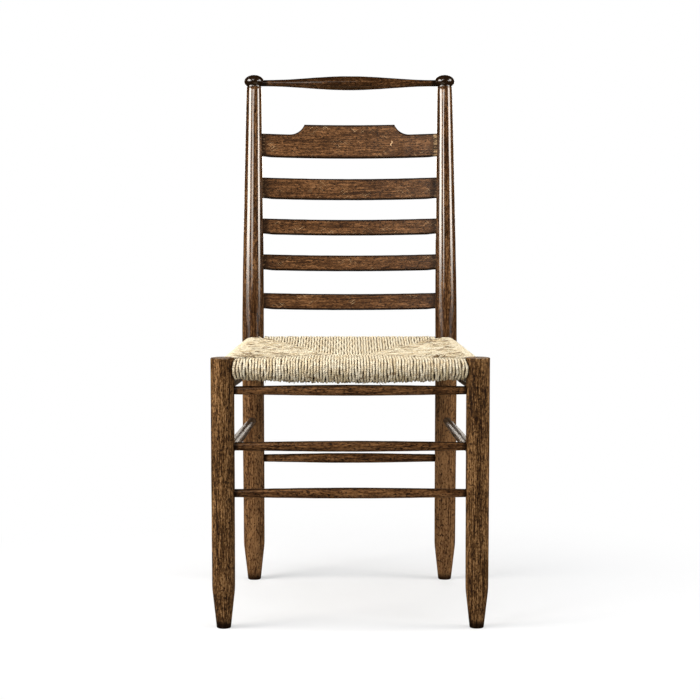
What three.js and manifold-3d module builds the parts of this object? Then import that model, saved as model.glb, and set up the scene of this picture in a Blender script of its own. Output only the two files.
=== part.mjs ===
// Ladder-back dining chair with a rush seat.
//
// Two turned front legs, two turned and bent rear posts with ball finials, five bowed slats, a
// turned crest spindle, eight turned stretchers, and a rush seat woven round four seat rails over
// four pads of stuffing. Every member has a real tenon in a real socket.
//
// Millimetres, +Z up. The chair faces -Y, left is -X, and the middle of its outline on the
// ground is the origin.

import * as THREE from 'three';
import { mergeVertices } from 'three/addons/utils/BufferGeometryUtils.js';
import Module from 'manifold-3d';

const wasm = await Module();
wasm.setup();

// ---- Driving dimensions ----

const FRONT_LEG_SPACING = 452; // centre to centre
const REAR_POST_SPACING = 377;
const SEAT_DEPTH = 398; // front leg axis to the corner of the post's bend
const LEG_RADIUS = 21;
const FRONT_LEG_HEIGHT = 485;
const LEG_CHAMFER = 1.5;

const FOOT_RADIUS = 12.8;
const FOOT_HEIGHT = 74; // the tapered end of each leg
const FOOT_SHOULDER_RADIUS = 20.4; // leg where the taper starts
const FOOT_EASING = 14; // height over which the taper eases into the leg
const FOOT_EASING_DEPTH = 1.2;
const GROUND_TRIM = 5; // a rear foot's length before it is cut level

const BEND_HEIGHT = 465; // where a post turns from its leg to its leaning back
const BEND_HALF_LENGTH = 75;
const FOOT_RAKE = 24.5; // how far a rear foot stands behind the bend
const BACK_LEAN = THREE.MathUtils.degToRad(12.3);
const POST_TAPER_CURVE = 1.25; // above 1, the taper gathers pace towards the top
const NECK_RADIUS = 14.7; // post just under its finial
const NECK_HEIGHT = 968.5;
const FINIAL_RADIUS = 19.6;
const FINIAL_TOP = 993.5;

const CREST_HEIGHT = 978;
const CREST_END_RADIUS = 6.2;
const CREST_MIDDLE_RADIUS = 13.8;

const SLAT_THICKNESS = 8;
const SLAT_BOW = 16; // how far a slat's middle stands behind its ends
const SLAT_HALF_LENGTH = 180; // to the end of its tenon
const SLAT_SECTIONS = 14;
const PLAIN_SLATS = [ // name, height of its middle on the posts, width
	['slat_2', 772, 42],
	['slat_3', 697.5, 31],
	['slat_4', 628, 31],
	['slat_5', 553, 31.5],
];
const TOP_SLAT_BASE = 833; // height of its lower edge on the posts
const TOP_SLAT_SHOULDER = 46.5; // its width beside the posts
const TOP_SLAT_RISE = 67; // its width along the raised middle
const TOP_SLAT_RAISED_HALF = 89; // half of the raised middle
const TOP_SLAT_COVE_RUN = 30; // from the raised corner out to the shoulder
const COVE_SECTIONS = 6;

const STRETCHER_END_RADIUS = 7.4;
const STRETCHER_MIDDLE_RADIUS = 9.7;
const FRONT_STRETCHERS = { upper: 427, middle: 327, lower: 243 }; // heights
const SIDE_STRETCHERS = { upper: [427.5, 427.5], middle: [305, 321] }; // at the front, at the back
const REAR_STRETCHER = 244;

const TENON_STOP = 9; // a round tenon's end, from the axis of its leg
const RAIL_HEIGHT = 466;
const RAIL_RADIUS = 11.5;
const RAIL_TENON_RADIUS = 7.5;
const SIDE_RAIL_INSET = 9; // side rail's front end, inside the front leg's axis

const RUSH_RADIUS = 19.5; // roll of rush round a rail
const RUSH_HOLLOW = 12; // half of the space between its two faces
const RUSH_CORNER = 17; // where the weave starts, from the axis of a leg
const BRIDGE_HALF = 44; // half of the seam where front and back fields meet
const SEAM_DEPTH = 200; // that seam, behind the front legs
const PAD_HALF_THICKNESS = 10.5;
const PAD_MARGIN = 1;

const FIT = 0.35; // play all round a tenon, and round the rush
const LEG_SIDES = 24;
const ROD_SIDES = 16;

const SIDES = { left: -1, right: 1 };

// ---- Finishes ----

const finish = (color, roughness) => new THREE.MeshStandardMaterial({ color, roughness, metalness: 0 });
const darkOak = finish(0x4a2f1c, 0.38);
const slatOak = finish(0x5d3d22, 0.42);
const bareOak = finish(0xb08d62, 0.7);
const rush = finish(0xdccb9c, 0.85);
const stuffing = finish(0xb7a46c, 0.95);

// ---- Solids ----

function solidFrom(geometry) {
	geometry.deleteAttribute('normal');
	geometry.deleteAttribute('uv');
	const merged = mergeVertices(geometry, 1e-4);
	const corners = merged.index.array;
	const triangles = [];
	for (let i = 0; i < corners.length; i += 3) {
		const [a, b, c] = corners.slice(i, i + 3);
		if (a !== b && b !== c && c !== a) triangles.push(a, b, c);
	}
	return new wasm.Manifold(new wasm.Mesh({
		numProp: 3,
		vertProperties: new Float32Array(merged.attributes.position.array),
		triVerts: new Uint32Array(triangles),
	}));
}

function geometryFrom(solid) {
	const { vertProperties, triVerts } = solid.getMesh();
	const geometry = new THREE.BufferGeometry();
	geometry.setAttribute('position', new THREE.BufferAttribute(vertProperties, 3));
	geometry.setIndex(new THREE.BufferAttribute(triVerts, 1));
	geometry.computeVertexNormals();
	return geometry;
}

const carve = (body, cutters) => cutters.reduce((left, cutter) => left.subtract(cutter), body);

// A turned piece standing on the XY plane, from [radius, height] pairs.
function turned(profile, sides) {
	const points = profile.map(([radius, height]) => new THREE.Vector2(radius, height));
	return new THREE.LatheGeometry(points, sides).rotateX(Math.PI / 2);
}

// A turned piece laid from one point towards another; its profile starts at the first point.
function turnedAlong(from, to, profile, sides = ROD_SIDES) {
	const direction = to.clone().sub(from).normalize();
	const turn = new THREE.Quaternion().setFromUnitVectors(new THREE.Vector3(0, 0, 1), direction);
	const geometry = turned(profile, sides).applyQuaternion(turn);
	return solidFrom(geometry.translate(from.x, from.y, from.z));
}

function block(x0, x1, y0, y1, z0, z1) {
	const box = new THREE.BoxGeometry(x1 - x0, y1 - y0, z1 - z0);
	return solidFrom(box.translate((x0 + x1) / 2, (y0 + y1) / 2, (z0 + z1) / 2));
}

const REACH = 1000; // beyond the chair on every side
const ground = block(-REACH, REACH, -REACH, REACH, -REACH, 0);

// Moves each vertex of a geometry by a function of its place.
function reshaped(geometry, place) {
	const position = geometry.attributes.position;
	const point = new THREE.Vector3();
	for (let i = 0; i < position.count; i++) {
		point.fromBufferAttribute(position, i);
		place(point);
		position.setXYZ(i, point.x, point.y, point.z);
	}
	return geometry;
}

// ---- The posts' centre line ----

const LEG_SLOPE = -FOOT_RAKE / BEND_HEIGHT;
const BACK_SLOPE = Math.tan(BACK_LEAN);

// How far back the post's centre is at a height, and how fast it moves back there.
function postLine(height) {
	const past = height - BEND_HEIGHT;
	if (past <= -BEND_HALF_LENGTH) return { back: SEAT_DEPTH + LEG_SLOPE * past, slope: LEG_SLOPE };
	if (past >= BEND_HALF_LENGTH) return { back: SEAT_DEPTH + BACK_SLOPE * past, slope: BACK_SLOPE };
	const along = past + BEND_HALF_LENGTH;
	const change = (BACK_SLOPE - LEG_SLOPE) / (2 * BEND_HALF_LENGTH);
	return {
		back: SEAT_DEPTH - LEG_SLOPE * BEND_HALF_LENGTH + LEG_SLOPE * along + change * along * along / 2,
		slope: LEG_SLOPE + change * along,
	};
}

const frontAxis = (side, height) => new THREE.Vector3(side * FRONT_LEG_SPACING / 2, 0, height);
const rearAxis = (side, height) => {
	return new THREE.Vector3(side * REAR_POST_SPACING / 2, postLine(height).back, height);
};

// ---- Round members between legs ----

const alongBy = (from, to, distance) => from.clone().lerp(to, distance / from.distanceTo(to));

// The two ends of a round member's sockets, from the axes of the legs it joins.
function seated(from, to, stop) {
	return [alongBy(from, to, stop), alongBy(to, from, stop)];
}

// A stretcher swells smoothly from the legs to its middle.
function stretcher(from, to) {
	const [start, end] = seated(from, to, TENON_STOP + FIT);
	const length = start.distanceTo(end);
	const shoulder = LEG_RADIUS - TENON_STOP + 1;
	const profile = [[0, 0], [STRETCHER_END_RADIUS, 0]];
	const sections = 10;
	for (let i = 0; i <= sections; i++) {
		const height = shoulder + (length - 2 * shoulder) * i / sections;
		const swell = Math.sin(Math.PI * i / sections) ** 2 * 0.35 + Math.sin(Math.PI * i / sections) * 0.65;
		const radius = STRETCHER_END_RADIUS + (STRETCHER_MIDDLE_RADIUS - STRETCHER_END_RADIUS) * swell;
		profile.push([radius, height]);
	}
	profile.push([STRETCHER_END_RADIUS, length], [0, length]);
	return turnedAlong(start, end, profile);
}

function seatRail(from, to) {
	const [start, end] = seated(from, to, TENON_STOP + FIT);
	const length = start.distanceTo(end);
	const shoulder = LEG_RADIUS - TENON_STOP + 1;
	return turnedAlong(start, end, [
		[0, 0], [RAIL_TENON_RADIUS, 0], [RAIL_TENON_RADIUS, shoulder], [RAIL_RADIUS, shoulder],
		[RAIL_RADIUS, length - shoulder], [RAIL_TENON_RADIUS, length - shoulder],
		[RAIL_TENON_RADIUS, length], [0, length],
	]);
}

// The cutter for the sockets at both ends of a round member.
function socket(from, to, radius, stop = TENON_STOP) {
	const [start, end] = seated(from, to, stop);
	const length = start.distanceTo(end);
	const bore = radius + FIT;
	return turnedAlong(start, end, [[0, 0], [bore, 0], [bore, length], [0, length]]);
}

const railEnds = {
	front: [frontAxis(-1, RAIL_HEIGHT), frontAxis(1, RAIL_HEIGHT)],
	back: [rearAxis(-1, RAIL_HEIGHT), rearAxis(1, RAIL_HEIGHT)],
};
for (const [name, side] of Object.entries(SIDES)) {
	const front = frontAxis(side, RAIL_HEIGHT);
	front.x -= side * SIDE_RAIL_INSET;
	railEnds[name] = [front, rearAxis(side, RAIL_HEIGHT)];
}

const stretcherEnds = {};
for (const [level, height] of Object.entries(FRONT_STRETCHERS)) {
	stretcherEnds[`front_stretcher_${level}`] = [frontAxis(-1, height), frontAxis(1, height)];
}
for (const [level, [front, back]] of Object.entries(SIDE_STRETCHERS)) {
	for (const [name, side] of Object.entries(SIDES)) {
		stretcherEnds[`side_stretcher_${level}_${name}`] = [frontAxis(side, front), rearAxis(side, back)];
	}
}
stretcherEnds.rear_stretcher = [rearAxis(-1, REAR_STRETCHER), rearAxis(1, REAR_STRETCHER)];

const crestEnds = [rearAxis(-1, CREST_HEIGHT), rearAxis(1, CREST_HEIGHT)];

function crestSpindle() {
	const [start, end] = seated(...crestEnds, TENON_STOP + FIT);
	const length = start.distanceTo(end);
	const shoulder = FINIAL_RADIUS - TENON_STOP + 1;
	const profile = [[0, 0], [CREST_END_RADIUS, 0]];
	const sections = 16;
	for (let i = 0; i <= sections; i++) {
		const height = shoulder + (length - 2 * shoulder) * i / sections;
		const swell = Math.sin(Math.PI * i / sections) ** 2;
		profile.push([CREST_END_RADIUS + (CREST_MIDDLE_RADIUS - CREST_END_RADIUS) * swell, height]);
	}
	profile.push([CREST_END_RADIUS, length], [0, length]);
	return turnedAlong(start, end, profile);
}

// ---- Slats ----

// A slat is a flat board, bowed to the back, leaned with the posts and set between them. Its
// columns are the places along it that its outline needs.
function slat(height, columns, lower, upper, thickness) {
	const board = new THREE.BoxGeometry(1, 1, 1, columns.length - 1, 1, 1);
	const lean = new THREE.Matrix4().makeRotationX(-BACK_LEAN);
	const middle = rearAxis(0, height);
	const clear = REAR_POST_SPACING / 2 - LEG_RADIUS;
	return solidFrom(reshaped(board, (point) => {
		const across = columns[Math.round((point.x + 0.5) * (columns.length - 1))];
		const up = point.z > 0 ? upper(across) : lower(across);
		const bow = SLAT_BOW * (1 - (across / clear) ** 2);
		point.set(across, bow + Math.sign(point.y) * thickness / 2, up).applyMatrix4(lean).add(middle);
	}));
}

function plainSlat(height, width, play = 0) {
	const half = SLAT_HALF_LENGTH + play;
	const columns = [];
	for (let i = 0; i <= SLAT_SECTIONS; i++) columns.push(-half + 2 * half * i / SLAT_SECTIONS);
	const edge = width / 2 + play;
	return slat(height, columns, () => -edge, () => edge, SLAT_THICKNESS + 2 * play);
}

// The top slat rises in a hollow curve from each shoulder to a long raised middle.
function topSlat(play = 0) {
	const rise = TOP_SLAT_RISE - TOP_SLAT_SHOULDER;
	const coveRadius = (TOP_SLAT_COVE_RUN ** 2 + rise ** 2) / (2 * rise);
	const shoulderStart = TOP_SLAT_RAISED_HALF + TOP_SLAT_COVE_RUN;
	const half = SLAT_HALF_LENGTH + play;
	const right = [0, TOP_SLAT_RAISED_HALF / 3, TOP_SLAT_RAISED_HALF * 2 / 3, TOP_SLAT_RAISED_HALF];
	for (let i = 1; i <= COVE_SECTIONS; i++) {
		right.push(TOP_SLAT_RAISED_HALF + TOP_SLAT_COVE_RUN * i / COVE_SECTIONS);
	}
	right.push((shoulderStart + half) / 2, half);
	const columns = [...right.slice(1).reverse().map((x) => -x), ...right];
	const upper = (across) => {
		const out = shoulderStart - Math.abs(across);
		if (out <= 0) return TOP_SLAT_SHOULDER + play;
		if (Math.abs(across) <= TOP_SLAT_RAISED_HALF) return TOP_SLAT_RISE + play;
		return TOP_SLAT_SHOULDER + play + coveRadius - Math.sqrt(coveRadius ** 2 - out ** 2);
	};
	return slat(TOP_SLAT_BASE, columns, () => -play, upper, SLAT_THICKNESS + 2 * play);
}

// ---- Legs and posts ----

// The taper of a foot, above its lower edge.
const footTaper = (play) => [
	[FOOT_SHOULDER_RADIUS - FOOT_EASING_DEPTH + play, FOOT_HEIGHT - FOOT_EASING],
	[FOOT_SHOULDER_RADIUS + play, FOOT_HEIGHT],
];

function frontLeg(side, play = 0) {
	const profile = [
		[0, 0], [FOOT_RADIUS - LEG_CHAMFER + play, 0], [FOOT_RADIUS + play, LEG_CHAMFER],
		...footTaper(play), [LEG_RADIUS + play, FRONT_LEG_HEIGHT / 2],
		[LEG_RADIUS + play, FRONT_LEG_HEIGHT - LEG_CHAMFER],
		[LEG_RADIUS - LEG_CHAMFER + play, FRONT_LEG_HEIGHT], [0, FRONT_LEG_HEIGHT],
	];
	return turnedAlong(frontAxis(side, 0), frontAxis(side, 1), profile, LEG_SIDES);
}

// A post is turned straight with its finial, then bent to its centre line and trimmed flat
// underneath.
function rearPost(side, play = 0) {
	const profile = [
		[0, -GROUND_TRIM], [FOOT_RADIUS + play, -GROUND_TRIM], [FOOT_RADIUS + play, 0],
		...footTaper(play), [LEG_RADIUS + play, BEND_HEIGHT / 2],
	];
	const bendSections = 8;
	for (let i = 0; i <= bendSections; i++) {
		const height = BEND_HEIGHT + BEND_HALF_LENGTH * (2 * i / bendSections - 1);
		profile.push([LEG_RADIUS + play, height]);
	}
	const bendTop = BEND_HEIGHT + BEND_HALF_LENGTH;
	const taperSections = 5;
	for (let i = 1; i <= taperSections; i++) {
		const radius = LEG_RADIUS - (LEG_RADIUS - NECK_RADIUS) * (i / taperSections) ** POST_TAPER_CURVE;
		profile.push([radius + play, bendTop + (NECK_HEIGHT - bendTop) * i / taperSections]);
	}
	const waist = (FINIAL_TOP - NECK_HEIGHT) / 2;
	const finialSections = 8;
	for (let i = 0; i <= finialSections; i++) {
		const turn = Math.PI * (0.24 + 0.76 * i / finialSections);
		const radius = i === finialSections ? 0 : FINIAL_RADIUS * Math.sin(turn) + play;
		profile.push([radius, NECK_HEIGHT + waist * (1 - Math.cos(turn))]);
	}
	const straight = turned(profile, LEG_SIDES);
	const bent = reshaped(straight, (point) => {
		const { back, slope } = postLine(point.z);
		const tilt = Math.atan(slope);
		point.set(
			side * REAR_POST_SPACING / 2 + point.x,
			back + point.y * Math.cos(tilt),
			point.z - point.y * Math.sin(tilt),
		);
	});
	return solidFrom(bent).subtract(ground);
}

const roundSockets = [
	...Object.values(stretcherEnds).map((ends) => socket(...ends, STRETCHER_END_RADIUS)),
	...Object.values(railEnds).map((ends) => socket(...ends, RAIL_TENON_RADIUS)),
	socket(...crestEnds, CREST_END_RADIUS),
];
const slatSockets = [
	topSlat(FIT),
	...PLAIN_SLATS.map(([, height, width]) => plainSlat(height, width, FIT)),
];

// ---- Rush seat ----

// The seat's outline along the middles of its rails.
const railCorners = [
	railEnds.left[0], railEnds.right[0], railEnds.right[1], railEnds.left[1],
].map((corner) => new THREE.Vector2(corner.x, corner.y));

// A slab over the rails whose edge is a half round of the given radius.
function rolledSlab(radius) {
	const core = 1;
	const slab = new THREE.ExtrudeGeometry(new THREE.Shape(railCorners), {
		depth: core, bevelSize: radius, bevelThickness: radius - core / 2, bevelSegments: 6,
	});
	return solidFrom(slab.translate(0, 0, RAIL_HEIGHT - core / 2));
}

// The corners outside the weave, at a front leg and at a rear post.
function openCorner(side, isFront) {
	const axis = isFront ? frontAxis(side, RAIL_HEIGHT) : rearAxis(side, RAIL_HEIGHT);
	const inner = side * (Math.abs(axis.x) - RUSH_CORNER);
	const outer = side * FRONT_LEG_SPACING;
	const edge = axis.y + (isFront ? RUSH_CORNER : -RUSH_CORNER);
	const far = isFront ? -SEAT_DEPTH : 2 * SEAT_DEPTH;
	return block(
		Math.min(inner, outer), Math.max(inner, outer), Math.min(edge, far), Math.max(edge, far),
		RAIL_HEIGHT - 2 * RUSH_RADIUS, RAIL_HEIGHT + 2 * RUSH_RADIUS,
	);
}

const legClearances = Object.values(SIDES).flatMap((side) => [frontLeg(side, FIT), rearPost(side, FIT)]);

function rushSeat() {
	const corners = Object.values(SIDES).flatMap((side) => [openCorner(side, true), openCorner(side, false)]);
	return carve(rolledSlab(RUSH_RADIUS), [rolledSlab(RUSH_HOLLOW), ...legClearances, ...corners]);
}

// A convex outline with every edge moved in by a distance; it runs anticlockwise.
function inset(outline, distance) {
	const edges = outline.map((corner, i) => {
		const along = outline[(i + 1) % outline.length].clone().sub(corner).normalize();
		const inward = new THREE.Vector2(-along.y, along.x);
		return { start: corner.clone().addScaledVector(inward, distance), along };
	});
	return edges.map((edge, i) => {
		const previous = edges.at(i - 1);
		const reach = edge.start.clone().sub(previous.start).cross(edge.along) / previous.along.cross(edge.along);
		return previous.start.clone().addScaledVector(previous.along, reach);
	});
}

// Each pad fills the pocket between one rail and the seams of the weave.
function stuffingPads() {
	const [frontLeft, frontRight, backRight, backLeft] = inset(railCorners, RUSH_HOLLOW);
	const leftSeam = new THREE.Vector2(-BRIDGE_HALF, SEAM_DEPTH);
	const rightSeam = new THREE.Vector2(BRIDGE_HALF, SEAM_DEPTH);
	const outlines = {
		front: [frontLeft, frontRight, rightSeam, leftSeam],
		back: [backRight, backLeft, leftSeam, rightSeam],
		left: [backLeft, frontLeft, leftSeam],
		right: [frontRight, backRight, rightSeam],
	};
	return Object.entries(outlines).map(([name, outline]) => {
		const shape = new THREE.Shape(inset(outline, PAD_MARGIN));
		const pad = new THREE.ExtrudeGeometry(shape, { depth: 2 * PAD_HALF_THICKNESS, bevelEnabled: false });
		const solid = solidFrom(pad.translate(0, 0, RAIL_HEIGHT - PAD_HALF_THICKNESS));
		return [`stuffing_${name}`, carve(solid, legClearances)];
	});
}

// ---- The chair ----

const chair = new THREE.Group();
const model = new THREE.Group();
model.add(chair);

function add(name, solid, material) {
	const mesh = new THREE.Mesh(geometryFrom(solid), material);
	mesh.name = name;
	chair.add(mesh);
}

for (const [name, side] of Object.entries(SIDES)) {
	add(`front_leg_${name}`, carve(frontLeg(side), roundSockets), darkOak);
	add(`rear_post_${name}`, carve(rearPost(side), [...roundSockets, ...slatSockets]), darkOak);
}
add('crest_spindle', crestSpindle(), darkOak);
add('top_slat', topSlat(), slatOak);
for (const [name, height, width] of PLAIN_SLATS) add(name, plainSlat(height, width), slatOak);
for (const [name, ends] of Object.entries(stretcherEnds)) add(name, stretcher(...ends), darkOak);
for (const [name, ends] of Object.entries(railEnds)) add(`seat_rail_${name}`, seatRail(...ends), bareOak);
add('rush_seat', rushSeat(), rush);
for (const [name, solid] of stuffingPads()) add(name, solid, stuffing);

const outline = new THREE.Box3().setFromObject(chair);
chair.position.y = -(outline.min.y + outline.max.y) / 2;

export default model;
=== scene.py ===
"""The looks of a ladder-back dining chair with a rush seat: turned oak, bowed slats, woven rush."""

import math
import random

import bmesh
import bpy
import numpy as np
from bpy.props import FloatProperty, FloatVectorProperty, IntProperty, PointerProperty
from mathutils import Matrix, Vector, noise


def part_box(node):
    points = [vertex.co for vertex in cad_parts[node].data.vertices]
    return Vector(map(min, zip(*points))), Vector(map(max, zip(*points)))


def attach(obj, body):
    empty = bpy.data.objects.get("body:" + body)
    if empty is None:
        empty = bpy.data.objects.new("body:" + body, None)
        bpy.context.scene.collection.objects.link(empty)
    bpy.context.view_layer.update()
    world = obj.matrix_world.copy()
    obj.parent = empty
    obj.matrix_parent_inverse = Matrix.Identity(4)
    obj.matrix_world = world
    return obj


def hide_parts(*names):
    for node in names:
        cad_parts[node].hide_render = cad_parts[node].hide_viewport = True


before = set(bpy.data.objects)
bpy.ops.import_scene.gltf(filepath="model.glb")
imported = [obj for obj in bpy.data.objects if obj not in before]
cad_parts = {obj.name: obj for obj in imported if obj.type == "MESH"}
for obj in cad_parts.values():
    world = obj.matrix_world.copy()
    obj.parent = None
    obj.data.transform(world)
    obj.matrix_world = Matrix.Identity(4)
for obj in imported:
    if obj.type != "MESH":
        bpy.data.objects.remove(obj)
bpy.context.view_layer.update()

bl_info = {
    "name": "Ladder-back rush chair",
    "version": (1, 0, 0),
    "blender": (4, 5, 0),
    "location": "View3D > Sidebar > Chair",
    "description": "Makes the turned oak, the bowed slats and the woven rush of a dining chair",
    "category": "Add Mesh",
}

BODY = "root"
SIDES = {"left": -1, "right": 1}
TAU = 2 * math.pi
EVEN = (1.0, 1.0, 1.0)
NEUTRAL = (1.0, 1.0, 1.0)
WARM = (1.0, 0.935, 0.85)

# Where each piece is cut from the plank, so that no two show the same grain, in metres
LEG_GRAIN = 3.1
POST_GRAIN = 7.7
TOP_SLAT_GRAIN = 11.3
CREST_GRAIN = 21.0
ROD_GRAIN = 30.0
HEART = (0.0, 0.031, 0.012)  # from the heart of the tree to a piece's axis
RINGS_PER_METRE = 1900.0 / TAU

# Width and height of each plain slat
PLAIN_SLATS = {
    "slat_2": (0.042, 0.772),
    "slat_3": (0.031, 0.6975),
    "slat_4": (0.031, 0.628),
    "slat_5": (0.0315, 0.553),
}

POST_SIDES = 48
CREST_SIDES = 32
ROD_SIDES = 26
LEG_CHAMFER = 0.0016
RAIL_RADIUS = 0.0135
LEG_CLEARANCE = 0.0240  # from a leg's axis to the first strand beside it
SEAM_DIVE = 0.0085  # how far a strand dives into the seam
DIVE_LENGTH = 0.0032

# How many loose fibres start from the front roll, the side fields and the middle fields
ROLL_FIBRES = 95
SIDE_FIBRES = 420
MIDDLE_FIBRES = 150
# Knots of broken rush: place across, depth behind the front rail, ends, spread
KNOTS = ((0.157, 0.038, 18, 0.011), (-0.176, 0.052, 9, 0.010))


def middle_of(node):
    """The centre of a node's box."""
    low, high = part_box(node)
    return (Vector(low) + Vector(high)) / 2


LEG_X = middle_of("front_leg_right").x
FRONT_Y = middle_of("front_leg_right").y
POST_X = middle_of("rear_post_right").x
LEG_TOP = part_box("front_leg_right")[1][2]
SLAT_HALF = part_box("top_slat")[1][0]
RAIL_Z = middle_of("seat_rail_front").z


# ---- Settings ----

def length(name, about, value):
    """A length setting, in metres."""
    return FloatProperty(name=name, description=about, default=value, unit="LENGTH", precision=5)


def tone(name, about, value):
    """A linear colour setting."""
    return FloatVectorProperty(
        name=name, description=about, default=value, size=3, subtype="COLOR", min=0, max=1)


class TurningSizes(bpy.types.PropertyGroup):
    leg_radius: length("Leg radius", "Radius of the legs above their feet", 0.021)
    foot_radius: length("Foot radius", "Radius of a foot on the ground", 0.0128)
    foot_height: length("Foot height", "Height where the taper of a foot ends", 0.074)
    shoulder_radius: length("Shoulder radius", "Radius of a leg where its taper starts", 0.0204)
    seat_depth: length("Seat depth", "From the front legs' axes to the posts' bend", 0.398)
    bend_height: length("Bend height", "Height where a post turns to lean back", 0.465)
    bend_half: length("Bend half length", "Half of the height over which a post bends", 0.075)
    foot_rake: length("Foot rake", "How far a rear foot stands behind the bend", 0.0245)
    back_lean: FloatProperty(
        name="Back lean", description="How far the back leans", default=math.radians(12.3),
        subtype="ANGLE")
    neck_radius: length("Neck radius", "Radius of a post under its finial", 0.0147)
    neck_height: length("Neck height", "Height of the neck", 0.9685)
    finial_radius: length("Finial radius", "Radius of the ball on a post", 0.0196)
    finial_top: length("Finial top", "Height of the top of the ball", 0.9935)
    crest_height: length("Crest height", "Height of the spindle between the balls", 0.978)
    crest_end_radius: length("Crest end radius", "Radius of the spindle at its ends", 0.0062)
    crest_middle_radius: length("Crest middle radius", "Radius in the spindle's middle", 0.0138)
    stretcher_end_radius: length("Stretcher end radius", "Radius of a stretcher's ends", 0.0074)
    stretcher_middle_radius: length("Stretcher middle radius", "Radius in its middle", 0.0097)
    rod_stop: length("Stretcher stop", "From a leg's axis to a stretcher's end", 0.00935)
    middle_rise: length("Middle rise", "How much a middle side stretcher rises to the back", 0.016)
    unevenness: length("Unevenness", "How far hand work and wear leave the surface uneven", 0.00016)


class SlatSizes(bpy.types.PropertyGroup):
    thickness: length("Thickness", "Thickness of every slat", 0.008)
    bow: length("Bow", "How far a slat's middle stands behind its ends", 0.016)
    easing: length("Easing", "Rounding of the long edges", 0.0024)
    top_height: length("Top slat height", "Height of its lower edge", 0.833)
    top_shoulder: length("Top slat shoulder", "Width of the top slat beside the posts", 0.0465)
    top_rise: length("Top slat rise", "Width of its raised middle", 0.067)
    raised_half: length("Raised half", "Half of the raised middle's length", 0.089)
    cove_run: length("Cove run", "From the raised corner out to the shoulder", 0.030)
    nick_place: length("Nick place", "A curled scratch, to the right of the middle", 0.083)
    nick_height: length("Nick height", "That scratch, above the top slat's lower edge", 0.029)
    corner_lift: length("Corner lift", "How far a lower corner is rounded up at the posts", 0.0012)


class RushSizes(bpy.types.PropertyGroup):
    pitch: length("Pitch", "From one strand to the next", 0.0052)
    cord_radius: length("Cord radius", "Radius of a twisted strand", 0.00262)
    wrap_radius: length("Wrap radius", "From a rail's axis to the strands' axes", 0.0168)
    twist: FloatProperty(name="Twist", description="Turns for each metre of strand", default=46.0)
    front_drop: length("Front drop", "How much lower the front roll is than the others", 0.0027)
    front_dip: FloatProperty(
        name="Front dip", description="How steeply the front field falls", default=0.059)
    side_dip: FloatProperty(
        name="Side dip", description="How steeply the side fields fall", default=0.076)
    back_dip: FloatProperty(
        name="Back dip", description="How steeply the back field falls", default=0.064)
    sag: length("Sag", "How far the front roll hangs in its middle", 0.0065)
    step: length("Step", "Length of one section of a strand", 0.0036)
    seam_front: length("Front seam", "Seam's end beside a front leg, from the middle", 0.209)
    seam_back: length("Back seam", "Seam's end beside a rear post, from the middle", 0.1715)
    bridge_half: length("Bridge half", "Half of the seam across the middle", 0.035)
    bridge_depth: length("Bridge depth", "That seam, behind the front legs", 0.192)
    corner: length("Corner", "Where the weave starts, from the axis of a leg", 0.017)
    seed: IntProperty(name="Seed", description="Fixes the strands' unevenness", default=11)


class OakTones(bpy.types.PropertyGroup):
    leg_dark: tone("Leg dark", "Dark grain of the front legs", (0.010, 0.004, 0.0015))
    leg_mid: tone("Leg middle", "Stain of the front legs", (0.059, 0.0275, 0.0085))
    leg_light: tone("Leg light", "Light grain of the front legs", (0.24, 0.130, 0.053))
    post_dark: tone("Post dark", "Dark grain of the posts", (0.012, 0.0048, 0.0012))
    post_mid: tone("Post middle", "Stain of the posts", (0.036, 0.0145, 0.0045))
    post_light: tone("Post light", "Light grain of the posts", (0.19, 0.098, 0.040))
    crest_mid: tone("Crest middle", "Stain of the spindle between the balls", (0.022, 0.0085, 0.0022))
    crest_light: tone("Crest light", "Light grain of that spindle", (0.095, 0.045, 0.017))
    slat_dark: tone("Slat dark", "Dark grain of the slats", (0.017, 0.0062, 0.0016))
    slat_mid: tone("Slat middle", "Stain of the slats", (0.052, 0.0215, 0.0065))
    slat_light: tone("Slat light", "Light grain of the slats", (0.165, 0.078, 0.031))
    rod_dark: tone("Stretcher dark", "Dark grain of the stretchers", (0.012, 0.005, 0.002))
    rod_mid: tone("Stretcher middle", "Stain of the stretchers", (0.060, 0.0255, 0.0082))
    rod_light: tone("Stretcher light", "Light grain of the stretchers", (0.16, 0.078, 0.030))
    # The side stretchers' tones are a lighter copy of the stretcher stain: painted sheen for the grazing
    # reflection on their tops.
    side_sheen_mid: tone("Side stretcher middle", "Stain of the side stretchers", (0.100, 0.060, 0.034))
    side_sheen_light: tone("Side stretcher light", "Light grain of those", (0.235, 0.165, 0.105))
    bare_wood: tone("Bare wood", "Oak where the stain is worn through", (0.36, 0.24, 0.13))


class RushTones(bpy.types.PropertyGroup):
    straw: tone("Straw", "Bright dry rush", (0.675, 0.63, 0.495))
    tan: tone("Tan", "Duller rush", (0.56, 0.445, 0.275))
    olive: tone("Olive", "Rush that dried green", (0.30, 0.235, 0.11))
    brown: tone("Brown", "Dark bits of bark and root", (0.11, 0.062, 0.024))
    filling: tone("Filling", "Loose rush inside the seat", (0.20, 0.14, 0.06))


class StudioSettings(bpy.types.PropertyGroup):
    lens: FloatProperty(name="Lens", description="Focal length in millimetres", default=110.31)
    height: length("Camera height", "Height of the camera", 0.878)
    distance: length("Camera distance", "From the camera to the front legs", 3.768)
    offset: length("Camera offset", "Camera's place to the right of the middle", -0.013)
    pitch: FloatProperty(
        name="Camera pitch", description="How far the camera looks down",
        default=math.radians(5.75), subtype="ANGLE")
    turn: FloatProperty(
        name="Camera turn", description="How far the camera turns to the right",
        default=math.radians(0.19), subtype="ANGLE")
    floor: tone("Floor", "Colour of the floor", (0.36, 0.372, 0.39))
    floor_glow: FloatProperty(
        name="Floor glow", description="How much the floor under the chair glows", default=0.42)


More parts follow.
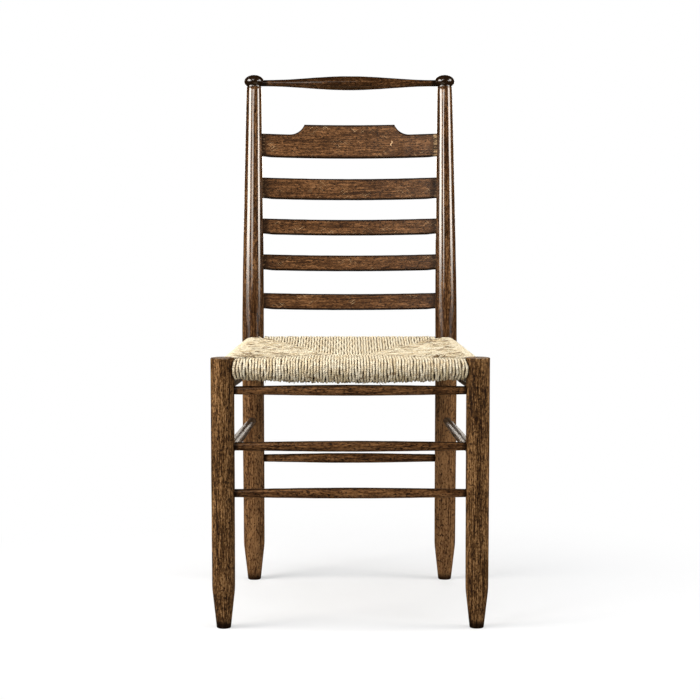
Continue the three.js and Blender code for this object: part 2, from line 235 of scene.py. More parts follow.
SETTINGS = {
    "chair_turning": TurningSizes,
    "chair_slats": SlatSizes,
    "chair_rush": RushSizes,
    "chair_oak": OakTones,
    "chair_straw": RushTones,
    "chair_studio": StudioSettings,
}


def setting(group):
    """One group of the scene's settings."""
    return getattr(bpy.context.scene, group)


# ---- Nodes ----

class Wire:
    """A node's output that can be used in sums."""

    def __init__(self, bench, socket):
        self.bench = bench
        self.socket = socket

    def __add__(self, other):
        return self.bench.math("ADD", self, other)

    def __radd__(self, other):
        return self.bench.math("ADD", other, self)

    def __sub__(self, other):
        return self.bench.math("SUBTRACT", self, other)

    def __rsub__(self, other):
        return self.bench.math("SUBTRACT", other, self)

    def __mul__(self, other):
        return self.bench.math("MULTIPLY", self, other)

    def __rmul__(self, other):
        return self.bench.math("MULTIPLY", other, self)

    def __truediv__(self, other):
        return self.bench.math("DIVIDE", self, other)

    def __pow__(self, other):
        return self.bench.math("POWER", self, other)

    def __abs__(self):
        return self.bench.math("ABSOLUTE", self)

    def beside(self, output):
        """Another output of the same node."""
        return Wire(self.bench, self.socket.node.outputs[output])


class Bench:
    """A node tree that is filled one node at a time."""

    def __init__(self, tree):
        self.tree = tree
        tree.nodes.clear()

    def node(self, kind, settings=None, values=None, output=0):
        """Adds a node: its settings come first, then the values or wires of its sockets."""
        made = self.tree.nodes.new(kind)
        for name, value in (settings or {}).items():
            if name == "stops":
                fill_ramp(made.color_ramp, value)
            else:
                setattr(made, name, value)
        for name, value in (values or {}).items():
            if isinstance(value, Wire):
                self.tree.links.new(value.socket, made.inputs[name])
            else:
                made.inputs[name].default_value = value
        return Wire(self, made.outputs[output]) if made.outputs else None

    def math(self, operation, *values):
        """A sum, or another function of numbers."""
        return self.node("ShaderNodeMath", {"operation": operation}, dict(enumerate(values)))

    def vectors(self, operation, values, output=0):
        """A sum, or another function of vectors."""
        return self.node("ShaderNodeVectorMath", {"operation": operation}, values, output)

    def split(self, vector):
        """The three numbers of a vector."""
        first = self.node("ShaderNodeSeparateXYZ", None, {0: vector})
        return first, first.beside("Y"), first.beside("Z")

    def scaled(self, vector, scale):
        """A vector stretched along each axis."""
        return self.vectors("MULTIPLY", {0: vector, 1: scale})

    def moved(self, vector, shift):
        """A vector plus another."""
        return self.vectors("ADD", {0: vector, 1: shift})

    def vector(self, x, y, z):
        """A vector from three numbers."""
        return self.node("ShaderNodeCombineXYZ", None, {0: x, 1: y, 2: z})

    def noise(self, vector, scale, detail=3.0, roughness=0.55, output="Fac"):
        """Cloudy noise, stretched along each axis."""
        values = {"Vector": self.scaled(vector, scale), "Scale": 1.0, "Detail": detail,
                  "Roughness": roughness}
        return self.node("ShaderNodeTexNoise", None, values, output)

    def between(self, value, low, high, bottom=0.0, top=1.0):
        """Turns low to high smoothly into bottom to top."""
        settings = {"interpolation_type": "SMOOTHSTEP"}
        return self.node("ShaderNodeMapRange", settings, {0: value, 1: low, 2: high, 3: bottom, 4: top})

    def blend(self, factor, first, second, how="MIX"):
        """Mixes two colours."""
        settings = {"data_type": "RGBA", "blend_type": how, "clamp_factor": True}
        return self.node("ShaderNodeMix", settings, {0: factor, 6: first, 7: second}, 2)

    def bump(self, height, strength, distance):
        """Turns a height into relief."""
        values = {"Strength": strength, "Distance": distance, "Height": height}
        return self.node("ShaderNodeBump", None, values)

    def place(self):
        """The place of a point on the chair."""
        return self.node("ShaderNodeTexCoord", None, None, "Object")

    def attribute(self, name, output="Fac"):
        """A value that a piece's mesh carries."""
        return self.node("ShaderNodeAttribute", {"attribute_name": name}, None, output)


def fill_ramp(ramp, stops):
    """Gives a colour ramp its stops."""
    while len(ramp.elements) < len(stops):
        ramp.elements.new(0.5)
    for element, (place, colour) in zip(ramp.elements, stops):
        element.position = place
        element.color = (*colour, 1.0)


def finish_bench(name):
    """A new material and the bench that fills it."""
    material = bpy.data.materials.new(name)
    material.use_nodes = True
    return material, Bench(material.node_tree)


def surface(bench, constants, varying):
    """Ends a material with its shader."""
    shader = bench.node("ShaderNodeBsdfPrincipled", None, {**constants, **varying})
    bench.node("ShaderNodeOutputMaterial", None, {"Surface": shader})


# ---- Finishes ----

def rgb(colour, strength=1.0):
    """A setting's colour with full alpha, darker or brighter."""
    return (*[part * strength for part in colour], 1.0)


def stained_oak(name, dark, mid, light, coat, coat_roughness, satin=0.5, depth=1.0, scratches=0.0,
                dents=0.3, specular=0.03, relief=0.55, fades=False, nick=None):
    """Stained and lacquered oak whose grain follows each piece, worn at its edges and ends, which on a front
    leg's top rim is partly a painted highlight, and darker where each piece marks it, which on the upper
    side of each rod is painted shade.

    Where it fades, the wood below the seat is lighter and has lost its gloss. A nick is a pale
    curled scratch at a place in the grain.
    """
    tones = setting("chair_oak")
    material, bench = finish_bench(name)
    grain = bench.attribute("grain", "Vector")
    edge = bench.attribute("edge")
    worn = bench.attribute("worn")
    drift = bench.noise(grain, (7.0, 22.0, 22.0), 2.0, 0.5, "Color")
    bent = bench.moved(grain, bench.scaled(drift, (0.0, 0.006, 0.006)))
    cloud = bench.noise(grain, (9.0, 60.0, 60.0), 3.0, 0.6)
    fibre = bench.noise(bent, (30.0, 420.0, 420.0), 4.0, 0.72)
    speckle = bench.noise(bent, (170.0, 400.0, 400.0), 3.0, 0.7)
    _, across, through = bench.split(bench.moved(bent, HEART))
    reach = (across * across + through * through) ** 0.5
    rings = bench.math("SINE", reach * RINGS_PER_METRE * TAU + cloud * 9.0)
    blend = (0.46 + (fibre - 0.5) * (1.7 * depth) + (cloud - 0.5) * (0.62 * depth)
             + (speckle - 0.5) * (1.35 * depth) + rings * (0.05 * depth))
    streak = bench.between(bench.noise(bent, (5.0, 75.0, 75.0), 2.0, 0.5), 0.52, 0.72)
    blend = blend - streak * (0.15 * depth)
    below = 0.0
    if fades:
        place = bench.place()
        height = bench.split(place)[2]
        blend = blend + bench.between(height, 0.47, 0.38) * 0.2
        below = bench.between(height, 0.74, 0.52)
    between = [a * 0.5 + b * 0.5 for a, b in zip(mid, light)]
    stops = ((0.14, dark), (0.46, mid), (0.66, between), (0.92, light))
    colour = bench.node("ShaderNodeValToRGB", {"stops": stops}, {0: blend})
    pores = bench.between(bench.noise(grain, (60.0, 1300.0, 1300.0), 2.0, 0.6), 0.6, 0.72)
    specks = bench.between(bench.noise(grain, (190.0, 290.0, 290.0), 1.0, 0.5), 0.61, 0.65)
    colour = bench.blend(pores * 0.55, colour, rgb(dark, 0.35))
    colour = bench.blend(specks * 0.8, colour, rgb(dark, 0.3))
    if scratches:
        lines = 0.0
        for angle, scale, low in ((0.55, (36.0, 8.0, 900.0), 0.655), (-0.75, (40.0, 8.0, 800.0), 0.665)):
            slant = bench.node("ShaderNodeVectorRotate", {"rotation_type": "Y_AXIS"},
                               {"Vector": grain, "Angle": angle})
            lines = lines + bench.between(bench.noise(slant, scale, 1.0, 0.5), low, low + 0.045)
        patch = bench.between(bench.noise(grain, (24.0, 10.0, 40.0), 2.0, 0.5), 0.5, 0.66)
        colour = bench.blend(lines * patch * scratches, colour, rgb(tones.bare_wood, 0.8))
    if nick:
        aside, _, rise = bench.split(bench.moved(grain, (-nick[0], 0, -nick[1])))
        away = abs(aside - bench.math("SINE", rise * 620.0) * 0.0014)
        mark = bench.between(away, 0.0004, 0.0009, 1.0, 0.0)
        mark = mark * bench.between(abs(rise), 0.0045, 0.0055, 1.0, 0.0)
        colour = bench.blend(mark, colour, rgb(tones.bare_wood, 1.5))
    # Darker where a piece's edge value marks it: towards the feet, at ends and long edges, in the crease
    # under a finial and over the ball, and as painted shade on the upper side of each rod. These places also
    # lose gloss and grow rougher.
    dirt_and_shade = bench.between(edge + (fibre - 0.5) * 0.7, 0.2, 0.8)
    colour = bench.blend(dirt_and_shade * 0.93, colour, rgb(dark, 0.25))
    bare = bench.between(worn + (speckle - 0.5) * 1.6 + (fibre - 0.5) * 0.8, 0.45, 0.95)
    colour = bench.blend(bare * 0.8, colour, rgb(tones.bare_wood))
    hollows = bench.between(bench.noise(grain, (55.0, 95.0, 95.0), 1.0, 0.4), 0.6, 0.8)
    height = (fibre * 0.35 + speckle * 0.25 - pores * 0.5 - hollows * (1.6 * dents)
              + bench.noise(grain, (16.0, 60.0, 60.0), 1.0, 0.4) * (1.4 * dents))
    bump = bench.bump(height, relief, 0.0006)
    gloss = bench.between(bare + dirt_and_shade * 0.45, 0.0, 1.0, coat, 0.0)
    if fades:
        gloss = gloss * (1 - below * 0.93)
    surface(
        bench,
        {"IOR": 1.5, "Specular IOR Level": specular, "Coat Roughness": coat_roughness,
         "Coat IOR": 1.7},
        {"Base Color": colour, "Roughness": satin + (fibre - 0.5) * 0.25 + bare * 0.25 + dirt_and_shade * 0.4,
         "Coat Weight": gloss, "Normal": bump},
    )
    return material


def bare_oak():
    """Unstained oak of the rails inside the rush."""
    tones = setting("chair_oak")
    material, bench = finish_bench("rail_oak")
    place = bench.place()
    fibre = bench.noise(place, (190.0, 190.0, 190.0), 4.0, 0.65)
    cloud = bench.noise(place, (14.0, 14.0, 14.0), 3.0, 0.6)
    colour = bench.blend(bench.between(fibre, 0.3, 0.75), rgb(tones.bare_wood, 0.6),
                         rgb(tones.bare_wood))
    colour = bench.blend(bench.between(cloud, 0.45, 0.7) * 0.5, colour, rgb(tones.leg_light))
    bump = bench.bump(fibre, 0.4, 0.0005)
    surface(bench, {"Specular IOR Level": 0.3},
            {"Base Color": colour, "Roughness": 0.62 + fibre * 0.2, "Normal": bump})
    return material


def twisted_rush(name, dullness):
    """Hand-twisted rush: fibres along each strand, dull and dark lengths, brown bits."""
    tones = setting("chair_straw")
    material, bench = finish_bench(name)
    along = bench.attribute("along")
    section = bench.attribute("section", "Vector")
    strand = bench.attribute("strand")
    aged = bench.attribute("aged")
    place = bench.place()
    across, through, _ = bench.split(section)
    thread = bench.vector(along * 22.0 + strand * 5.3, across * 3.2, through * 3.2)
    fibre = bench.noise(thread, EVEN, 4.0, 0.65)
    hairs = bench.noise(thread, (1.6, 4.5, 4.5), 3.0, 0.7)
    lengths = bench.noise(bench.vector(along * 14.0, strand * 3.1, 0.0), EVEN, 2.0, 0.6)
    bits = bench.noise(bench.vector(along * 120.0, strand * 2.3, across * 1.2), EVEN, 2.0, 0.6)
    field = bench.noise(place, (26.0, 26.0, 60.0), 3.0, 0.6)
    chance = bench.node("ShaderNodeTexWhiteNoise", {"noise_dimensions": "1D"}, {"W": strand * 1.37})
    patch = bench.noise(place, (70.0, 150.0, 150.0), 3.0, 0.65)
    dull = ((fibre - 0.5) * 1.4 + (hairs - 0.5) * 1.0 + (lengths - 0.5) * 0.9 + (chance - 0.5) * 0.4
            + (patch - 0.5) * 2.2 + aged * 0.30)
    colour = bench.blend(bench.between(dull + dullness, -0.45, 0.75), rgb(tones.straw),
                         rgb(tones.tan))
    olive = bench.between(lengths * 0.6 + field * 0.5 + aged * 0.24, 0.58, 0.86)
    colour = bench.blend(olive * 0.6, colour, rgb(tones.olive))
    # Painted shade in the gaps: each strand is browner on the sides that face its neighbours.
    crevice = bench.attribute("crevice")
    colour = bench.blend(crevice * 0.82, colour, rgb(tones.brown, 0.7))
    # Further round the rail, the rush is duller and more olive and has more brown bits; values above 1 mark
    # curled brown bits.
    under = bench.between(aged, 0.40, 0.60) * 0.10
    curled = bench.between(aged, 1.2, 1.8) * 0.5
    dark = bench.between(bits * 0.7 + hairs * 0.2 + patch * 0.25 + under + curled, 0.70, 0.79)
    colour = bench.blend(dark * 0.85, colour, rgb(tones.brown))
    bump = bench.bump(fibre * 0.6 + hairs * 0.5, 0.8, 0.0009)
    surface(bench, {"Specular IOR Level": 0.35},
            {"Base Color": colour, "Roughness": 0.5 + fibre * 0.3, "Normal": bump})
    return material


def packed_filling():
    """Loose broken rush packed inside the seat."""
    tones = setting("chair_straw")
    material, bench = finish_bench("packed_filling")
    place = bench.place()
    chaff = bench.noise(place, (140.0, 700.0, 500.0), 4.0, 0.7)
    cross = bench.noise(place, (700.0, 120.0, 500.0), 4.0, 0.7)
    colour = bench.blend(bench.between(chaff, 0.35, 0.7), rgb(tones.brown), rgb(tones.filling))
    colour = bench.blend(bench.between(cross, 0.55, 0.75) * 0.6, colour, rgb(tones.tan))
    bump = bench.bump(chaff + cross, 0.9, 0.002)
    surface(bench, {"Specular IOR Level": 0.2},
            {"Base Color": colour, "Roughness": 0.75 + chaff * 0.2, "Normal": bump})
    return material


# ---- Meshes ----

def steps(count):
    """Even shares from the first step to 1."""
    return [part / count for part in range(1, count + 1)]


def limited(value):
    """A value or an array kept between 0 and 1."""
    return np.clip(value, 0.0, 1.0)


def placed(name, data):
    """Puts a mesh, a light or a camera in the scene."""
    thing = bpy.data.objects.new(name, data)
    bpy.context.scene.collection.objects.link(thing)
    return thing


def smoothed(name, mesh, material):
    """Gives a mesh smooth faces and its finish, and puts it in the scene."""
    mesh.shade_smooth()
    mesh.materials.append(material)
    return placed(name, mesh)


def skin(name, rings, grain, edge, worn, material):
    """Closes a row of rings into one smooth solid that carries its grain and wear."""
    rows, sides, _ = rings.shape
    foot = rows * sides
    head = foot + 1
    faces = []
    for row in range(rows - 1):
        for side in range(sides):
            here = row * sides + side
            following = row * sides + (side + 1) % sides
            faces.append((here, following, following + sides, here + sides))
    last = (rows - 1) * sides
    for side in range(sides):
        following = (side + 1) % sides
        faces.append((foot, following, side))
        faces.append((head, last + side, last + following))
    points = np.vstack([rings.reshape(-1, 3), rings[0].mean(0), rings[-1].mean(0)])
    mesh = bpy.data.meshes.new(name)
    mesh.from_pydata(points.tolist(), [], faces)
    straight = np.vstack([grain.reshape(-1, 3), grain[0].mean(0), grain[-1].mean(0)])
    store(mesh, "grain", straight, "FLOAT_VECTOR")
    for label, values in (("edge", edge), ("worn", worn)):
        flat = np.concatenate([values.ravel(), [values[0].mean(), values[-1].mean()]])
        store(mesh, label, flat, "FLOAT")
    return smoothed(name, mesh, material)


def store(mesh, name, values, kind):
    """Gives a mesh's points one value each."""
    layer = mesh.attributes.new(name, kind, "POINT")
    field = "vector" if kind == "FLOAT_VECTOR" else "value"
    layer.data.foreach_set(field, np.asarray(values, dtype=np.float32).ravel())


def roughened(place, amount):
    """A small fixed unevenness at a place."""
    return amount * noise.noise(Vector(place))


def declare(piece, slot, *nodes):
    """Rides a piece on the chair and hides the nodes it stands for."""
    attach(piece, BODY)
    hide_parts(*nodes)


# ---- Posts and legs ----

def post_line(height):
    """How far back a post's axis is at a height, and how fast it moves back there."""
    sizes = setting("chair_turning")
    leg = -sizes.foot_rake / sizes.bend_height
    back = math.tan(sizes.back_lean)
    past = height - sizes.bend_height
    half = sizes.bend_half
    if past <= -half:
        return FRONT_Y + sizes.seat_depth + leg * past, leg
    if past >= half:
        return FRONT_Y + sizes.seat_depth + back * past, back
    along = past + half
    change = (back - leg) / (2 * half)
    place = sizes.seat_depth - leg * half + leg * along + change * along * along / 2
    return FRONT_Y + place, leg + change * along


def foot_profile(sizes):
    """Heights and radii of a foot, from the ground up to the end of its taper."""
    foot = sizes.foot_radius
    profile = [(0.0, foot - 0.0016), (0.0004, foot - 0.0008), (0.0012, foot - 0.0001), (0.002, foot)]
    ease_start = sizes.foot_height - 0.014
    ease_radius = sizes.shoulder_radius - 0.0012
    for t in steps(8):
        profile.append((0.002 + (ease_start - 0.002) * t, foot + (ease_radius - foot) * t))
    for t in steps(5):
        swell = 1 - (1 - t) ** 2
        profile.append((ease_start + 0.020 * t, ease_radius + 0.0013 * swell))
    return profile


def turned_rings(profile, place, sides, grain_shift, uneven):
    """Rings round an axis, with their straight grain."""
    rings = np.zeros((len(profile), sides, 3))
    grain = np.zeros((len(profile), sides, 3))
    for row, (height, radius) in enumerate(profile):
        for side in range(sides):
            turn = TAU * side / sides
            x = math.cos(turn)
            y = math.sin(turn)
            away = radius + roughened((x * 1.3 + grain_shift, y * 1.3, height * 17), uneven)
            rings[row, side] = place(x * away, y * away, height)
            grain[row, side] = (height + grain_shift, x * away, y * away)
    return rings, grain


def front_leg(side_name, side, material):
    """One straight front leg with a worn flat top, a partly painted highlight on its top rim, and a tapered
    foot.
    """
    sizes = setting("chair_turning")
    radius = sizes.leg_radius
    rim = LEG_TOP - LEG_CHAMFER
    profile = foot_profile(sizes)
    low = profile[-1]
    for t in steps(40):
        profile.append((low[0] + (rim - low[0]) * t, low[1] + (radius - low[1]) * min(1, 2 * t)))
    for t in steps(4):
        turn = math.pi / 2 * t
        profile.append((rim + LEG_CHAMFER * math.sin(turn), radius - LEG_CHAMFER * (1 - math.cos(turn))))
    profile += [(LEG_TOP, radius * f) for f in (0.8, 0.55, 0.25)]
    place = lambda x, y, height: (side * LEG_X + x, FRONT_Y + y, height)
    rings, grain = turned_rings(profile, place, POST_SIDES, LEG_GRAIN + side, sizes.unevenness)
    rings[-4:, :, 2] = np.minimum(rings[-4:, :, 2], LEG_TOP)
    heights = rings[:, :, 2]
    edge = 0.75 * limited(1 - heights / 0.02) + 0.22 * limited(1.3 - heights / 0.07)
    # A pale band round the eased top rim, partly stain worn through and partly a painted highlight; the flat
    # top is pale end grain.
    worn = limited(1 - np.abs(heights - (LEG_TOP - 0.0007)) / 0.0028) * 0.5
    worn[-3:] = 0.42
    piece = skin(f"front_leg_{side_name}_turned", rings, grain, edge, worn, material)
    declare(piece, "leg_wood", f"front_leg_{side_name}")


def rear_post(side_name, side, material):
    """One rear post: a raked leg, a bend, a taper and a flattened ball."""
    sizes = setting("chair_turning")
    radius = sizes.leg_radius
    profile = foot_profile(sizes)
    low = profile[-1]
    bend_top = sizes.bend_height + sizes.bend_half
    for t in steps(60):
        profile.append((low[0] + (bend_top - low[0]) * t, low[1] + (radius - low[1]) * min(1, 2.5 * t)))
    for t in steps(60):
        thin = radius - (radius - sizes.neck_radius) * t ** 1.25
        profile.append((bend_top + (sizes.neck_height - bend_top) * t, thin))
    half = (sizes.finial_top - sizes.neck_height) / 2
    for part in range(19):
        turn = math.pi * (0.24 + 0.75 * part / 18)
        height = sizes.neck_height + half * (1 - math.cos(turn))
        profile.append((height, sizes.finial_radius * math.sin(turn)))

    def place(x, y, height):
        back, slope = post_line(height)
        tilt = math.atan(slope)
        return side * POST_X + x, back + y * math.cos(tilt), height - y * math.sin(tilt)

    grain_start = POST_GRAIN + 2.3 * side
    rings, grain = turned_rings(profile, place, POST_SIDES, grain_start, sizes.unevenness)
    rings[0, :, 2] = 0.0
    rings[1:4, :, 2] = np.maximum(rings[1:4, :, 2], 0.0)
    heights = grain[:, :, 0] - grain_start
    edge = 0.75 * limited(1 - heights / 0.02) + 0.15 * limited(1.3 - heights / 0.07)
    edge += 0.55 * limited(1 - np.abs(heights - sizes.neck_height - 0.001) / 0.004)
    edge += 0.7 * (heights > sizes.neck_height + 0.002)
    piece = skin(f"rear_post_{side_name}_turned", rings, grain, edge, np.zeros_like(edge), material)
    declare(piece, "post_wood", f"rear_post_{side_name}")


# ---- Grown pieces ----

def new_tree(name, numbers, vectors):
    """A geometry tree with named inputs, and its inputs by name."""
    tree = bpy.data.node_groups.new(name, "GeometryNodeTree")
    tree.interface.new_socket("Geometry", in_out="OUTPUT", socket_type="NodeSocketGeometry")
    tree.interface.new_socket("Geometry", in_out="INPUT", socket_type="NodeSocketGeometry")
    for labels, kind in ((numbers, "NodeSocketFloat"), (vectors, "NodeSocketVector")):
        for label in labels:
            tree.interface.new_socket(label, in_out="INPUT", socket_type=kind)
    bench = Bench(tree)
    start = bench.node("NodeGroupInput", None, None, "Geometry")
    return bench, {label: start.beside(label) for label in ("Geometry", *numbers, *vectors)}


def end_tree(bench, geometry, material):
    """Ends a tree with real geometry in its finish."""
    smooth = bench.node("GeometryNodeSetShadeSmooth", None, {0: geometry})
    whole = bench.node("GeometryNodeRealizeInstances", None, {0: smooth})
    finished = bench.node("GeometryNodeSetMaterial", None, {0: whole, "Material": material})
    bench.node("NodeGroupOutput", None, {0: finished})


def stored(bench, geometry, name, value, kind="FLOAT"):
    """Keeps a value on each point of the geometry."""
    settings = {"data_type": kind, "domain": "POINT"}
    return bench.node("GeometryNodeStoreNamedAttribute", settings,
                      {0: geometry, "Name": name, "Value": value})


def kept(bench, name, kind="FLOAT"):
    """Reads a value kept on the points."""
    return bench.node("GeometryNodeInputNamedAttribute", {"data_type": kind}, {"Name": name})


def grown(name, tree, values, seedling=None):
    """Runs a tree and gives its result as a plain mesh."""
    mesh = seedling or bpy.data.meshes.new(name + "_start")
    start = placed(name + "_start", mesh)
    modifier = start.modifiers.new("grow", "NODES")
    modifier.node_group = tree
    identifiers = {item.name: item.identifier for item in tree.interface.items_tree
                   if item.in_out == "INPUT"}
    for label, value in values.items():
        modifier[identifiers[label]] = value
    bpy.context.view_layer.update()
    seen = start.evaluated_get(bpy.context.evaluated_depsgraph_get())
    result = bpy.data.meshes.new_from_object(seen)
    start.modifiers.remove(modifier)
    bpy.data.objects.remove(start)
    if not result.polygons:
        raise RuntimeError(f"{name} came out empty")
    result.name = name
    return placed(name, result)


def plain_slat_tree(material):
    """The tree of a plain bowed slat: a section swept along a bowed line, then leaned."""
    numbers = ("Half Length", "Clear Half", "Bow", "Width", "Thickness", "Easing", "Corner Lift",
               "Lean", "Grain Shift")
    bench, given = new_tree("plain_slat", numbers, ("Place",))
    line = bench.node("GeometryNodeCurvePrimitiveLine", None, {
        "Start": bench.vector(0.0 - given["Half Length"], 0.0, 0.0),
        "End": bench.vector(given["Half Length"], 0.0, 0.0),
    })
    line = bench.node("GeometryNodeResampleCurve", None, {0: line, "Count": 90})
    line = bench.node("GeometryNodeSetCurveNormal", {"mode": "Z_UP"}, {0: line})
    shape = bench.node("GeometryNodeCurvePrimitiveQuadrilateral", None,
                       {"Width": given["Thickness"], "Height": given["Width"]})
    shape = bench.node("GeometryNodeFilletCurve", {"mode": "POLY"},
                       {0: shape, "Count": 5, "Radius": given["Easing"], "Limit Radius": True})
    shape = bench.node("GeometryNodeResampleCurve", {"mode": "LENGTH"}, {0: shape, "Length": 0.0011})
    board = bench.node("GeometryNodeCurveToMesh", None, {0: line, 1: shape, "Fill Caps": True})
    point = bench.node("GeometryNodeInputPosition")
    x, y, z = bench.split(point)
    edge_half = given["Width"] / 2
    out = abs(x) / given["Clear Half"]
    board = stored(bench, board, "grain", bench.vector(x + given["Grain Shift"], y, z), "FLOAT_VECTOR")
    rim = bench.between(edge_half - abs(z), 0.0012, 0.0050, 1.0, 0.0)
    ends = bench.between(out, 0.86, 1.0, 0.0, 0.62)
    board = stored(bench, board, "edge", bench.math("MAXIMUM", rim, ends))
    board = stored(bench, board, "worn", bench.between(out, 0.968, 0.985, 0.0, 0.4))
    lift = bench.between(out, 0.90, 1.0) * bench.between(z / edge_half, 0.0, -1.0) * given["Corner Lift"]
    rough = bench.noise(point, (60.0, 60.0, 60.0), 1.0, 0.5) - 0.5
    bowed = bench.vector(x, y + given["Bow"] * (1 - out * out) + rough * 0.0005, z + lift + rough * 0.0006)
    board = bench.node("GeometryNodeSetPosition", None, {0: board, "Position": bowed})
    board = bench.node("GeometryNodeTransform", None, {
        0: board, "Translation": given["Place"],
        "Rotation": bench.vector(0.0 - given["Lean"], 0.0, 0.0)})
    end_tree(bench, board, material)
    return bench.tree


def rod_tree(name, material, sides):
    """The tree of a turned rod that swells from its ends to its middle."""
    numbers = ("End Radius", "Middle Radius", "Shoulder", "Fullness", "Unevenness", "Grain Shift")
    bench, given = new_tree(name, numbers, ("Start", "End"))
    line = bench.node("GeometryNodeCurvePrimitiveLine", None, {"Start": given["Start"], "End": given["End"]})
    line = bench.node("GeometryNodeResampleCurve", None, {0: line, "Count": 110})
    reach = bench.node("GeometryNodeSplineParameter", None, None, "Length")
    line = stored(bench, line, "along", reach)
    whole = bench.vectors("DISTANCE", {0: given["Start"], 1: given["End"]}, "Value")
    share = bench.node("ShaderNodeMapRange", None,
                       {0: reach, 1: given["Shoulder"], 2: whole - given["Shoulder"], 3: 0.0, 4: math.pi})
    wave = bench.math("SINE", share)
    swell = wave * given["Fullness"] + wave * wave * (1 - given["Fullness"])
    radius = given["End Radius"] + (given["Middle Radius"] - given["End Radius"]) * swell
    line = stored(bench, line, "girth", radius)
    circle = bench.node("GeometryNodeCurvePrimitiveCircle", None, {"Resolution": sides, "Radius": 1.0})
    circle = stored(bench, circle, "section", bench.node("GeometryNodeInputPosition"), "FLOAT_VECTOR")
    rod = bench.node("GeometryNodeCurveToMesh", None,
                     {0: line, 1: circle, "Scale": kept(bench, "girth"), "Fill Caps": True})
    across, through, _ = bench.split(kept(bench, "section", "FLOAT_VECTOR"))
    girth = kept(bench, "girth")
    along = kept(bench, "along")
    grain = bench.vector(along + given["Grain Shift"], across * girth, through * girth)
    rod = stored(bench, rod, "grain", grain, "FLOAT_VECTOR")
    nearest = bench.math("MINIMUM", along, whole - along)
    normal = bench.node("GeometryNodeInputNormal")
    # Darker towards the ends, and painted shade on the upper side, where the normal points up.
    ends = bench.between(nearest, 0.012, 0.024, 0.75, 0.0)
    upper = bench.between(bench.split(normal)[2], 0.6, 0.95, 0.0, 0.62)
    rod = stored(bench, rod, "edge", bench.math("MAXIMUM", ends, upper))
    rod = stored(bench, rod, "worn", bench.between(nearest, 0.0, 0.001, 0.1, 0.0))
    point = bench.node("GeometryNodeInputPosition")
    rough = (bench.noise(point, (42.0, 42.0, 42.0), 2.0, 0.5) - 0.5) * given["Unevenness"] * 4
    outward = bench.vectors("SCALE", {0: normal, "Scale": rough})
    rod = bench.node("GeometryNodeSetPosition", None, {0: rod, "Offset": outward})
    end_tree(bench, rod, material)
    return bench.tree


def top_slat(material):
    """The top slat: bowed, its upper edge raised between two hollow coves."""
    sizes = setting("chair_slats")
    turning = setting("chair_turning")
    rise = sizes.top_rise - sizes.top_shoulder
    cove = (sizes.cove_run ** 2 + rise ** 2) / (2 * rise)
    shoulder_start = sizes.raised_half + sizes.cove_run
    clear = POST_X - turning.leg_radius

    def upper(x):
        out = shoulder_start - abs(x)
        if out <= 0:
            return sizes.top_shoulder
        if abs(x) <= sizes.raised_half:
            return sizes.top_rise
        return sizes.top_shoulder + cove - math.sqrt(cove ** 2 - out ** 2)

    right = list(np.linspace(0, sizes.raised_half - 0.0008, 34))
    right += list(sizes.raised_half + np.linspace(0.0, sizes.cove_run, 26))
    right += list(np.linspace(shoulder_start + 0.002, SLAT_HALF, 24))
    columns = [-x for x in right[:0:-1]] + right
    half_thick = sizes.thickness / 2
    back, _ = post_line(sizes.top_height)
    lean = turning.back_lean
    rings = []
    grain = []
    edge = []
    worn = []
    for x in columns:
        top = upper(x)
        out = abs(x) / clear
        lift = sizes.corner_lift * limited((out - 0.9) / 0.1) ** 2
        bow = sizes.bow * (1 - out ** 2)
        outline = rounded_section(half_thick, lift, top, sizes.easing)
        row = []
        straight = []
        rim = []
        for y, z in outline:
            wave = roughened((x * 60, y * 60, z * 60 + 5), 0.0003)
            depth = y + bow + wave
            row.append((x, back + depth * math.cos(lean) + z * math.sin(lean),
                        sizes.top_height - depth * math.sin(lean) + z * math.cos(lean)))
            straight.append((x + TOP_SLAT_GRAIN, y, z))
            nearest = min(z - lift, top - z)
            rim.append(limited(1.35 - nearest / 0.0038))
        rings.append(row)
        grain.append(straight)
        ends = 0.62 * limited((out - 0.86) / 0.14) ** 2
        edge.append([max(value, ends) for value in rim])
        chipped = 0.4 if x < 0 else 0.66
        worn.append([chipped * limited((out - 0.974) / 0.013)] * len(outline))
    piece = skin("top_slat_bowed", *map(np.array, (rings, grain, edge, worn)), material)
    declare(piece, "slat_wood", "top_slat")


def rounded_section(half_thick, low, high, ease):
    """An upright board's section with eased corners, anticlockwise from the lower front."""
    outline = []
    corners = (
        (half_thick - ease, low + ease, -math.pi / 2),
        (half_thick - ease, high - ease, 0.0),
        (-half_thick + ease, high - ease, math.pi / 2),
        (-half_thick + ease, low + ease, math.pi),
    )
    for index, (y, z, start) in enumerate(corners):
        for part in range(5):
            turn = start + math.pi / 2 * part / 4
            outline.append((y + ease * math.cos(turn), z + ease * math.sin(turn)))
        following = corners[(index + 1) % 4]
        leave = outline[-1]
        enter_turn = following[2]
        enter = (following[0] + ease * math.cos(enter_turn), following[1] + ease * math.sin(enter_turn))
        for t in steps(16 if index in (0, 2) else 2)[:-1]:
            outline.append((leave[0] + (enter[0] - leave[0]) * t, leave[1] + (enter[1] - leave[1]) * t))
    return outline


# ---- Rush ----

